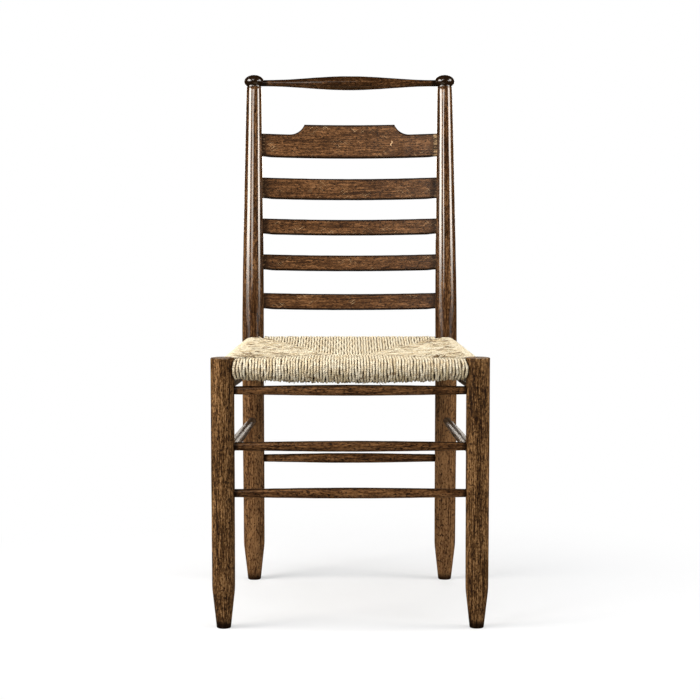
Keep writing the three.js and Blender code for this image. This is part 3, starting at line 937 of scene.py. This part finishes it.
class Weave:
    """Where the strands of the seat run."""

    def __init__(self):
        self.sizes = setting("chair_rush")
        self.dice = random.Random(self.sizes.seed)
        self.back_y = middle_of("seat_rail_back").y
        self.bridge_y = FRONT_Y + self.sizes.bridge_depth
        self.seam_front_y = FRONT_Y + 0.008
        self.seam_back_y = self.back_y - self.sizes.corner
        self.side_front = LEG_X - 0.009
        self.count = 0
        self.start_over()

    def start_over(self):
        """Forgets the strands laid so far."""
        self.points = []
        self.edges = []
        self.strand = []
        self.aged = []

    def side_rail(self, y):
        """A side rail's distance from the middle plane at a depth."""
        return self.side_front + (POST_X - self.side_front) * (y - FRONT_Y) / (self.back_y - FRONT_Y)

    def seam_depth(self, x, is_front):
        """The depth of the seam at a distance from the middle plane."""
        sizes = self.sizes
        start = sizes.seam_front if is_front else sizes.seam_back
        edge = self.seam_front_y if is_front else self.seam_back_y
        share = (start - abs(x)) / (start - sizes.bridge_half)
        return edge + (self.bridge_y - edge) * limited(share)

    def seam_reach(self, y):
        """The seam's distance from the middle plane at a depth."""
        sizes = self.sizes
        if y <= self.bridge_y:
            share = (y - self.seam_front_y) / (self.bridge_y - self.seam_front_y)
            return sizes.seam_front + (sizes.bridge_half - sizes.seam_front) * share
        share = (self.seam_back_y - y) / (self.seam_back_y - self.bridge_y)
        return sizes.seam_back + (sizes.bridge_half - sizes.seam_back) * share

    def loop(self, run, dip, drop, sag, lumps):
        """One strand round a rail, as (distance in from the rail, height above it, turn, sway)."""
        sizes = self.sizes
        wrap = sizes.wrap_radius
        phases = [self.dice.uniform(0, TAU) for _ in range(6)]
        sway = self.dice.uniform(0.6, 1.4)
        trim = self.dice.uniform(-0.0015, 0.0015)
        end = max(0.004, run + trim)
        shares = [0.0, *steps(max(3, int(end / 0.006)))]
        path = []
        for t in shares:
            inward = end * (1 - t)
            path.append((inward, wrap - drop - dip * inward, 0.0))
        for t in steps(12)[:-1]:
            turn = math.pi * t
            hang = sag * math.sin(turn / 2) ** 2
            up = wrap * math.cos(turn) - drop * max(0.0, math.cos(turn))
            path.append((-wrap * math.sin(turn), up - hang, t))
        for t in shares:
            inward = end * t
            hang = sag * math.exp(-(inward / 0.09) ** 2)
            path.append((inward, -wrap - hang, 1.0))
        result = []
        travelled = 0.0
        for index, (inward, up, turn) in enumerate(path):
            if index:
                travelled += math.dist(path[index - 1][:2], (inward, up))
            left = end - inward
            dive = SEAM_DIVE * math.exp(-(left / DIVE_LENGTH) ** 2)
            up += dive if turn > 0.5 else -dive
            rough = lumps * (0.25 + 0.75 * turn)
            side = sway * (0.00045 * math.sin(travelled * 95 + phases[0])
                           + rough * math.sin(travelled * 230 + phases[1]))
            lift = (0.0003 * math.sin(travelled * 120 + phases[2])
                    + rough * math.sin(travelled * 260 + phases[3]))
            result.append((inward, up + lift * (1.0 if turn < 0.5 else 1.6), turn, side))
        return result

    def keep(self, points, aged):
        """Adds one strand, with a value at each point: how far round its rail the point lies, and above 1
        the mark of a curled bit.
        """
        first = len(self.points)
        self.count += 1
        self.points += points
        self.strand += [float(self.count)] * len(points)
        self.aged += aged
        self.edges += [(i, i + 1) for i in range(first, len(self.points) - 1)]

    def lay(self, path, place):
        """Adds one strand that follows a path round a rail."""
        self.keep([place(inward, up, side) for inward, up, _, side in path], [step[2] for step in path])

    def taken(self, name):
        """The strands laid so far, as a mesh of lines."""
        mesh = bpy.data.meshes.new(name + "_lines")
        mesh.from_pydata(self.points, self.edges, [])
        store(mesh, "strand", self.strand, "FLOAT")
        store(mesh, "aged", self.aged, "FLOAT")
        self.start_over()
        return mesh

    def spread(self, low, high):
        """Evenly pitched places with a little unevenness."""
        count = round((high - low) / self.sizes.pitch)
        step = (high - low) / count
        return [low + step * i + self.dice.uniform(-0.0004, 0.0004) for i in range(count + 1)]

    def lay_front(self):
        """Strands over the front rail."""
        sizes = self.sizes
        reach = LEG_X - LEG_CLEARANCE
        for x in self.spread(-reach, reach):
            run = self.seam_depth(x, True) - FRONT_Y
            sag = sizes.sag * max(0.0, 1 - (x / 0.2) ** 2)
            near = max(0.0, (abs(x) - 0.160) / 0.042) ** 2

            def place(inward, up, side):
                bulge = near * 0.0030 * max(0.0, -inward / 0.0157) ** 1.5
                return x + side + math.copysign(bulge, x), FRONT_Y + inward, RAIL_Z + up

            self.lay(self.loop(run, sizes.front_dip, sizes.front_drop, sag, 0.0010), place)

    def lay_back(self):
        """Strands over the back rail."""
        reach = POST_X - LEG_CLEARANCE
        for x in self.spread(-reach, reach):
            run = self.back_y - self.seam_depth(x, False)
            place = lambda inward, up, side: (x + side, self.back_y - inward, RAIL_Z + up)
            self.lay(self.loop(run, self.sizes.back_dip, 0.0, 0.002, 0.0005), place)

    def lay_side(self, side_sign):
        """Strands over a side rail."""
        for y in self.spread(FRONT_Y + 0.0242, self.back_y - 0.0242):
            rail = self.side_rail(y)
            run = max(0.005, rail - self.seam_reach(y))

            def place(inward, up, side):
                x = side_sign * (rail - inward)
                flat = limited(inward / 0.02)
                lump = flat * (roughened((x * 40, y * 46, 2.0), 0.0016)
                               + roughened((x * 95, y * 120, 5.0), 0.0012))
                return x, y + side, RAIL_Z + up + lump

            self.lay(self.loop(run, self.sizes.side_dip, 0.0, 0.001, 0.0005), place)


def rush_tree(material):
    """The tree that turns lines into twisted rush cord."""
    bench, given = new_tree("rush_cord", ("Cord Radius", "Step", "Twist", "Lobes"), ("Neighbour",))
    line = bench.node("GeometryNodeMeshToCurve", None, {0: given["Geometry"]})
    line = bench.node("GeometryNodeResampleCurve", {"mode": "LENGTH"}, {0: line, "Length": given["Step"]})
    reach = bench.node("GeometryNodeSplineParameter", None, None, "Length")
    line = stored(bench, line, "along", reach)
    strand = kept(bench, "strand")
    tilt = reach * given["Twist"] * TAU + strand * 2.4
    line = bench.node("GeometryNodeSetCurveTilt", None, {0: line, "Tilt": tilt})
    thick = bench.noise(bench.vector(reach * 55.0, strand * 4.7, 0.0), EVEN, 2.0, 0.5)
    line = stored(bench, line, "girth", given["Cord Radius"] * (0.8 + thick * 0.4))
    point = bench.node("GeometryNodeInputPosition")
    line = stored(bench, line, "spine", point, "FLOAT_VECTOR")
    circle = bench.node("GeometryNodeCurvePrimitiveCircle", None, {"Resolution": 10, "Radius": 1.0})
    circle = stored(bench, circle, "section", point, "FLOAT_VECTOR")
    x, y, _ = bench.split(point)
    lobe = 1 + (x * x - y * y) * given["Lobes"]
    shaped = bench.vectors("SCALE", {0: point, "Scale": lobe})
    circle = bench.node("GeometryNodeSetPosition", None, {0: circle, "Position": shaped})
    cord = bench.node("GeometryNodeCurveToMesh", None,
                      {0: line, 1: circle, "Scale": kept(bench, "girth"), "Fill Caps": True})
    # Painted shade for the gaps between strands: how far a point on a strand faces its neighbours.
    offset = bench.vectors("SUBTRACT", {0: point, 1: kept(bench, "spine", "FLOAT_VECTOR")})
    beside = bench.vectors("DOT_PRODUCT", {0: offset, 1: given["Neighbour"]}, "Value")
    share = abs(beside) / given["Cord Radius"]
    cord = stored(bench, cord, "crevice", bench.between(share, 0.45, 1.0))
    end_tree(bench, cord, material)
    return bench.tree


def curl(dice, place, heading, reach, bends, lift):
    """A short curling fibre that starts at a place."""
    points = [Vector(place)]
    direction = Vector(heading).normalized()
    for _ in range(bends):
        turn = Vector((dice.uniform(-1, 1), dice.uniform(-1, 1), dice.uniform(-lift, lift)))
        direction = (direction + turn * 0.45).normalized()
        points.append(points[-1] + direction * reach / bends)
    return points


def filling_pad(name, corners, weave, material):
    """One pad of loose rush that fills the pocket under a field of strands."""
    parts = 26
    sizes = weave.sizes
    clear = sizes.cord_radius + 0.0008
    layers = []
    for is_top in (False, True):
        layer = np.zeros((parts + 1, parts + 1, 3))
        for i in range(parts + 1):
            for j in range(parts + 1):
                u = i / parts
                v = j / parts
                low = corners[0].lerp(corners[1], u)
                high = corners[3].lerp(corners[2], u)
                spot = low.lerp(high, v)
                to_front = spot.y - FRONT_Y
                to_back = weave.back_y - spot.y
                to_side = weave.side_rail(spot.y) - abs(spot.x)
                inward = max(0.0, min(to_front, to_back, to_side))
                wave = roughened((spot.x * 55, spot.y * 55, 16.5), 0.0008)
                rim = min(u, 1 - u, v, 1 - v) * parts
                thin = 0.55 + 0.45 * min(1.0, rim / 3)
                top = sizes.wrap_radius - sizes.front_drop - sizes.side_dip * inward - clear - 0.0012
                base = -sizes.wrap_radius + clear + 0.0004
                height = (top if is_top else base) * thin + wave
                layer[i, j] = (spot.x, spot.y, RAIL_Z + height)
        layers.append(layer.reshape(-1, 3))
    side = parts + 1
    total = side * side
    faces = []
    for i in range(parts):
        for j in range(parts):
            a = i * side + j
            faces.append((a, a + 1, a + side + 1, a + side))
            faces.append((total + a, total + a + side, total + a + side + 1, total + a + 1))
    loop = [i * side for i in range(side)] + [parts * side + j for j in range(1, side)]
    loop += [i * side + parts for i in range(parts - 1, -1, -1)] + list(range(parts - 1, 0, -1))
    for index, here in enumerate(loop):
        following = loop[(index + 1) % len(loop)]
        faces.append((here, following, total + following, total + here))
    mesh = bpy.data.meshes.new(name)
    mesh.from_pydata(np.vstack(layers).tolist(), [], faces)
    close_mesh(mesh)
    return smoothed(name, mesh, material)


def close_mesh(mesh):
    """Merges doubled points and turns every face outwards."""
    work = bmesh.new()
    work.from_mesh(mesh)
    bmesh.ops.remove_doubles(work, verts=work.verts, dist=1e-6)
    bmesh.ops.recalc_face_normals(work, faces=work.faces)
    work.to_mesh(mesh)
    work.free()


# ---- Operators ----

class CHAIR_OT_front_legs(bpy.types.Operator):
    """Make the two straight front legs"""
    bl_idname = "chair.front_legs"
    bl_label = "Front legs"

    def execute(self, context):
        tones = setting("chair_oak")
        material = stained_oak("leg_oak", tones.leg_dark, tones.leg_mid, tones.leg_light,
                               coat=0.0, coat_roughness=0.35, satin=0.55, depth=1.05, dents=0.4)
        for name, side in SIDES.items():
            front_leg(name, side, material)
        return {"FINISHED"}


class CHAIR_OT_rear_posts(bpy.types.Operator):
    """Make the two bent rear posts with their ball finials"""
    bl_idname = "chair.rear_posts"
    bl_label = "Rear posts"

    def execute(self, context):
        tones = setting("chair_oak")
        material = stained_oak("post_oak", tones.post_dark, tones.post_mid, tones.post_light,
                               coat=1.0, coat_roughness=0.09, depth=0.78, relief=0.2, fades=True)
        for name, side in SIDES.items():
            rear_post(name, side, material)
        return {"FINISHED"}


class CHAIR_OT_slats(bpy.types.Operator):
    """Make the top slat and the four plain slats"""
    bl_idname = "chair.slats"
    bl_label = "Slats"

    def execute(self, context):
        tones = setting("chair_oak")
        sizes = setting("chair_slats")
        turning = setting("chair_turning")
        material = stained_oak("slat_oak", tones.slat_dark, tones.slat_mid, tones.slat_light,
                               coat=0.13, coat_roughness=0.36, depth=0.95, scratches=1.0,
                               nick=(TOP_SLAT_GRAIN + sizes.nick_place, sizes.nick_height))
        top_slat(material)
        tree = plain_slat_tree(material)
        for index, (node, (width, height)) in enumerate(PLAIN_SLATS.items()):
            place = (0.0, post_line(height)[0], height)
            piece = grown(node + "_bowed", tree, {
                "Half Length": SLAT_HALF, "Clear Half": POST_X - turning.leg_radius,
                "Bow": sizes.bow, "Width": width, "Thickness": sizes.thickness,
                "Easing": sizes.easing, "Corner Lift": sizes.corner_lift,
                "Lean": turning.back_lean, "Place": place, "Grain Shift": 2.7 * index + 1.0,
            })
            declare(piece, "slat_wood", node)
        return {"FINISHED"}


class CHAIR_OT_crest(bpy.types.Operator):
    """Make the spindle between the finials"""
    bl_idname = "chair.crest"
    bl_label = "Crest spindle"

    def execute(self, context):
        turning = setting("chair_turning")
        tones = setting("chair_oak")
        material = stained_oak("crest_oak", tones.post_dark, tones.crest_mid, tones.crest_light,
                               coat=0.3, coat_roughness=0.16)
        tree = rod_tree("crest_rod", material, CREST_SIDES)
        back, _ = post_line(turning.crest_height)
        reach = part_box("crest_spindle")[1][0]
        piece = grown("crest_spindle_turned", tree, {
            "Start": (-reach, back, turning.crest_height), "End": (reach, back, turning.crest_height),
            "End Radius": turning.crest_end_radius, "Middle Radius": turning.crest_middle_radius,
            "Shoulder": 0.0116, "Fullness": 0.0, "Unevenness": turning.unevenness,
            "Grain Shift": CREST_GRAIN,
        })
        declare(piece, "post_wood", "crest_spindle")
        return {"FINISHED"}


class CHAIR_OT_stretchers(bpy.types.Operator):
    """Make the eight turned stretchers"""
    bl_idname = "chair.stretchers"
    bl_label = "Stretchers"

    def execute(self, context):
        tones = setting("chair_oak")
        turning = setting("chair_turning")
        plain_oak = stained_oak("stretcher_oak", tones.rod_dark, tones.rod_mid, tones.rod_light,
                                coat=0.1, coat_roughness=0.2, satin=0.45, depth=1.15)
        # The side stretchers take a lighter copy of the stretcher stain, a painted sheen on top of their
        # gloss.
        side_sheen_oak = stained_oak("side_stretcher_sheen_oak", tones.rod_dark, tones.side_sheen_mid, tones.side_sheen_light,
                               coat=0.8, coat_roughness=0.4, specular=0.1)
        front_tree = rod_tree("stretcher_rod", plain_oak, ROD_SIDES)
        side_tree = rod_tree("side_stretcher_rod", side_sheen_oak, ROD_SIDES)
        ends = {}
        for level in ("upper", "middle", "lower"):
            node = f"front_stretcher_{level}"
            height = middle_of(node).z
            ends[node] = [Vector((side * LEG_X, FRONT_Y, height)) for side in (-1, 1)]
        for level, rise in (("upper", 0.0), ("middle", turning.middle_rise)):
            for name, side in SIDES.items():
                node = f"side_stretcher_{level}_{name}"
                low = middle_of(node).z - rise / 2
                high = low + rise
                ends[node] = [Vector((side * LEG_X, FRONT_Y, low)),
                              Vector((side * POST_X, post_line(high)[0], high))]
        height = middle_of("rear_stretcher").z
        back = post_line(height)[0]
        ends["rear_stretcher"] = [Vector((side * POST_X, back, height)) for side in (-1, 1)]
        for index, (node, (start, end)) in enumerate(ends.items()):
            along = (end - start).normalized() * turning.rod_stop
            piece = grown(node + "_turned", side_tree if "side" in node else front_tree, {
                "Start": start + along, "End": end - along,
                "End Radius": turning.stretcher_end_radius,
                "Middle Radius": turning.stretcher_middle_radius, "Shoulder": 0.013,
                "Fullness": 0.65, "Unevenness": turning.unevenness,
                "Grain Shift": 1.9 * index + ROD_GRAIN,
            })
            declare(piece, "stretcher_wood", node)
        return {"FINISHED"}


class CHAIR_OT_rails(bpy.types.Operator):
    """Finish the seat rails inside the rush"""
    bl_idname = "chair.rails"
    bl_label = "Seat rails"

    def execute(self, context):
        material = bare_oak()
        for name in ("front", "back", "left", "right"):
            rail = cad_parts[f"seat_rail_{name}"]
            for slot in rail.material_slots:
                slot.material = material
        return {"FINISHED"}


class CHAIR_OT_rush(bpy.types.Operator):
    """Weave the rush seat"""
    bl_idname = "chair.rush"
    bl_label = "Rush seat"

    def execute(self, context):
        sizes = setting("chair_rush")
        weave = Weave()
        fields = {"rush_front": weave.lay_front, "rush_back": weave.lay_back,
                  "rush_left": lambda: weave.lay_side(-1), "rush_right": lambda: weave.lay_side(1)}
        tree = rush_tree(twisted_rush("woven_rush", 0.0))
        for name, lay in fields.items():
            lay()
            piece = grown(name, tree, {
                "Cord Radius": sizes.cord_radius, "Step": sizes.step, "Twist": sizes.twist,
                "Lobes": 0.12, "Neighbour": (0, 1, 0) if name in ("rush_left", "rush_right") else (1, 0, 0),
            }, weave.taken(name))
            declare(piece, "rush", "rush_seat")
        return {"FINISHED"}


class CHAIR_OT_loose_fibres(bpy.types.Operator):
    """Let loose fibres and curled bits of bark stand out of the weave"""
    bl_idname = "chair.loose_fibres"
    bl_label = "Loose fibres"

    def execute(self, context):
        weave = Weave()
        sizes = weave.sizes
        dice = random.Random(sizes.seed + 5)
        top = RAIL_Z + sizes.wrap_radius + sizes.cord_radius

        def keep(points, fibre_mark):
            weave.keep([tuple(point) for point in points], [fibre_mark] * len(points))

        for _ in range(ROLL_FIBRES):
            x = dice.uniform(-0.196, 0.196)
            turn = math.radians(dice.uniform(105, 178))
            sag = sizes.sag * max(0.0, 1 - (x / 0.2) ** 2) * math.sin(turn / 2) ** 2
            reach = sizes.wrap_radius + sizes.cord_radius * 0.5
            place = (x, FRONT_Y - reach * math.sin(turn), RAIL_Z + reach * math.cos(turn) - sag)
            heading = (dice.uniform(-1, 1), dice.uniform(-0.3, 0.3), dice.uniform(-0.5, 0.4))
            keep(curl(dice, place, heading, dice.uniform(0.004, 0.009), 6, 0.9), dice.uniform(1.2, 1.9))
        for _ in range(SIDE_FIBRES):
            side = dice.choice((-1, 1))
            y = dice.uniform(FRONT_Y + 0.03, weave.back_y - 0.03)
            rail = weave.side_rail(y)
            x = dice.uniform(weave.seam_reach(y), rail - 0.004)
            height = top - sizes.side_dip * (rail - x) + 0.0002
            outward = -1 if x > rail - 0.03 else dice.choice((-1, 1))
            heading = (outward * side, dice.uniform(-0.5, 0.5), outward * sizes.side_dip + 0.02)
            keep(curl(dice, (side * x, y, height), heading, dice.uniform(0.01, 0.026), 7, 0.12),
                 dice.choice((0.0, 0.3, 0.6, 1.4, 1.7)))
        for _ in range(MIDDLE_FIBRES):
            x = dice.uniform(-0.15, 0.15)
            y = dice.uniform(FRONT_Y + 0.005, weave.back_y - 0.01)
            if abs(x) > weave.seam_reach(y):
                continue
            height = top - sizes.front_drop - sizes.front_dip * min(y - FRONT_Y, weave.back_y - y) - 0.0004
            heading = (dice.uniform(-0.5, 0.5), dice.choice((-1, 1)), 0.05)
            keep(curl(dice, (x, y, height), heading, dice.uniform(0.008, 0.02), 6, 0.15),
                 dice.choice((0.0, 0.4, 1.5)))
        for x, depth, count, spread in KNOTS:
            for _ in range(count):
                y = FRONT_Y + depth + dice.uniform(-0.5, 0.5) * spread
                height = top - sizes.side_dip * (weave.side_rail(y) - abs(x)) + 0.0008
                place = (x + dice.uniform(-1, 1) * spread, y, height)
                heading = (dice.choice((-1, 1)), dice.uniform(-1, 1), 0.4)
                keep(curl(dice, place, heading, dice.uniform(0.006, 0.013), 8, 0.6), 1.95)
        tree = rush_tree(twisted_rush("loose_rush", 0.1))
        piece = grown("rush_fibres", tree, {
            "Cord Radius": 0.0004, "Step": 0.002, "Twist": 20.0, "Lobes": 0.3, "Neighbour": (0, 0, 0),
        }, weave.taken("rush_fibres"))
        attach(piece, BODY)
        return {"FINISHED"}


class CHAIR_OT_filling(bpy.types.Operator):
    """Pack loose rush inside the seat"""
    bl_idname = "chair.filling"
    bl_label = "Filling"

    def execute(self, context):
        weave = Weave()
        sizes = weave.sizes
        material = packed_filling()
        front = FRONT_Y + RAIL_RADIUS
        back = weave.back_y - RAIL_RADIUS
        left_seam = Vector((-sizes.bridge_half, weave.bridge_y))
        right_seam = Vector((sizes.bridge_half, weave.bridge_y))
        fl = Vector((-sizes.seam_front + 0.008, front))
        fr = Vector((sizes.seam_front - 0.008, front))
        bl = Vector((-sizes.seam_back + 0.008, back))
        br = Vector((sizes.seam_back - 0.008, back))
        side_f = Vector((weave.side_front - RAIL_RADIUS, FRONT_Y + 0.024))
        side_b = Vector((POST_X - RAIL_RADIUS, weave.back_y - 0.024))
        pockets = {
            "front": (fl, fr, right_seam, left_seam),
            "back": (br, bl, left_seam, right_seam),
            "left": (Vector((-side_b.x, side_b.y)), Vector((-side_f.x, side_f.y)), left_seam, left_seam),
            "right": (side_f, side_b, right_seam, right_seam),
        }
        for name, corners in pockets.items():
            piece = filling_pad(f"filling_{name}", corners, weave, material)
            declare(piece, "stuffing", f"stuffing_{name}")
        return {"FINISHED"}


class CHAIR_OT_studio(bpy.types.Operator):
    """Set up the floor, the soft lights and the camera"""
    bl_idname = "chair.studio"
    bl_label = "Studio"

    def execute(self, context):
        studio = setting("chair_studio")
        scene = context.scene
        scene.view_settings.view_transform = "Standard"
        mesh = bpy.data.meshes.new("floor")
        far = 30.0
        mesh.from_pydata([(-far, -far, 0), (far, -far, 0), (far, far, 0), (-far, far, 0)], [],
                         [(0, 1, 2, 3)])
        floor = placed("floor", mesh)
        material, bench = finish_bench("floor_paint")
        away = bench.vectors("LENGTH", {0: bench.place()}, "Value")
        clear = bench.between(away, 0.35, 0.95)
        glow = bench.blend(clear, (studio.floor_glow,) * 3 + (1,), (1, 1, 1, 1))
        surface(bench, {"Roughness": 0.9, "Specular IOR Level": 0.0, "Emission Strength": 1.0},
                {"Base Color": bench.blend(clear, rgb(studio.floor), (0, 0, 0, 1)),
                 "Emission Color": glow})
        mesh.materials.append(material)
        floor.visible_glossy = False
        world = bpy.data.worlds.new("studio_air")
        world.use_nodes = True
        world.node_tree.nodes["Background"].inputs["Color"].default_value = (1, 1, 1, 1)
        world.node_tree.nodes["Background"].inputs["Strength"].default_value = 1.0
        world.cycles_visibility.diffuse = False
        world.cycles_visibility.glossy = False
        scene.world = world
        softbox("overhead", (0.0, -0.6, 3.4), (0, 0, 0.4), (3.2, 2.8), 73.0, shines=False)
        softbox("rear_fill", (0.0, 2.8, 1.5), (0, 0, 0.5), (2.2, 1.6), 34.0, shines=False)
        softbox("front_key", (-2.5, -2.3, 0.95), (0, 0, 0.5), (1.5, 1.2), 62.0)
        softbox("right_fill", (2.6, -2.2, 0.85), (0, 0, 0.5), (1.4, 1.2), 46.0)
        softbox("left_side", (-1.6, -0.52, 1.32), (-0.19, 0.17, 1.0), (1.0, 1.15), 54.0, WARM)
        softbox("right_side", (1.6, -0.30, 1.32), (0.19, 0.17, 1.0), (0.72, 1.15), 31.0, WARM)
        softbox("near_strip", (-0.35, -0.85, 1.28), (0.0, 0.2, 0.85), (0.24, 0.55), 2.2, WARM)
        softbox("top_strip", (-0.45, -1.6, 2.05), (-0.1, 0, 0.4), (1.1, 0.16), 3.0, WARM)
        softbox("back_panel", (0, 3.0, 0.95), (0, 0, 0.35), (1.7, 0.8), 26.0, WARM, lights=False)
        softbox("slat_sheen", (-1.5, -3.4, 2.5), (0, 0.2, 0.8), (0.9, 0.9), 15.0, WARM, lights=False)
        camera = bpy.data.cameras.new("camera")
        camera.lens = studio.lens
        camera.sensor_width = 36.0
        camera.clip_end = 100.0
        viewer = placed("camera", camera)
        viewer.location = (studio.offset, FRONT_Y - studio.distance, studio.height)
        viewer.rotation_euler = (math.pi / 2 - studio.pitch, 0, -studio.turn)
        scene.camera = viewer
        return {"FINISHED"}


def softbox(name, place, target, size, power, tint=NEUTRAL, shines=True, lights=True):
    """A large soft light that faces a target and isn't seen itself."""
    light = bpy.data.lights.new(name, "AREA")
    light.shape = "RECTANGLE"
    light.size, light.size_y = size
    light.energy = power
    light.color = tint
    lamp = placed(name, light)
    lamp.location = place
    lamp.rotation_euler = (Vector(target) - Vector(place)).to_track_quat("-Z", "Y").to_euler()
    lamp.visible_camera = False
    lamp.visible_glossy = shines
    lamp.visible_diffuse = lights


class CHAIR_PT_panel(bpy.types.Panel):
    """Lists the steps that make the chair"""
    bl_label = "Ladder-back rush chair"
    bl_space_type = "VIEW_3D"
    bl_region_type = "UI"
    bl_category = "Chair"

    def draw(self, context):
        for operator in OPERATORS:
            self.layout.operator(operator.bl_idname)
        for group, kind in SETTINGS.items():
            box = self.layout.box()
            for name in kind.__annotations__:
                box.prop(getattr(context.scene, group), name)


OPERATORS = (
    CHAIR_OT_studio, CHAIR_OT_front_legs, CHAIR_OT_rear_posts, CHAIR_OT_slats, CHAIR_OT_crest,
    CHAIR_OT_stretchers, CHAIR_OT_rails, CHAIR_OT_rush, CHAIR_OT_loose_fibres, CHAIR_OT_filling,
)


def register():
    for kind in (*SETTINGS.values(), *OPERATORS, CHAIR_PT_panel):
        bpy.utils.register_class(kind)
    for group, kind in SETTINGS.items():
        setattr(bpy.types.Scene, group, PointerProperty(type=kind))


def unregister():
    for group in SETTINGS:
        delattr(bpy.types.Scene, group)
    for kind in (CHAIR_PT_panel, *reversed(OPERATORS), *SETTINGS.values()):
        bpy.utils.unregister_class(kind)


def main():
    register()
    bpy.ops.chair.studio()
    bpy.ops.chair.front_legs()
    bpy.ops.chair.rear_posts()
    bpy.ops.chair.slats()
    bpy.ops.chair.crest()
    bpy.ops.chair.stretchers()
    bpy.ops.chair.rails()
    bpy.ops.chair.rush()
    bpy.ops.chair.loose_fibres()
    bpy.ops.chair.filling()


if __name__ == "__main__":
    main()
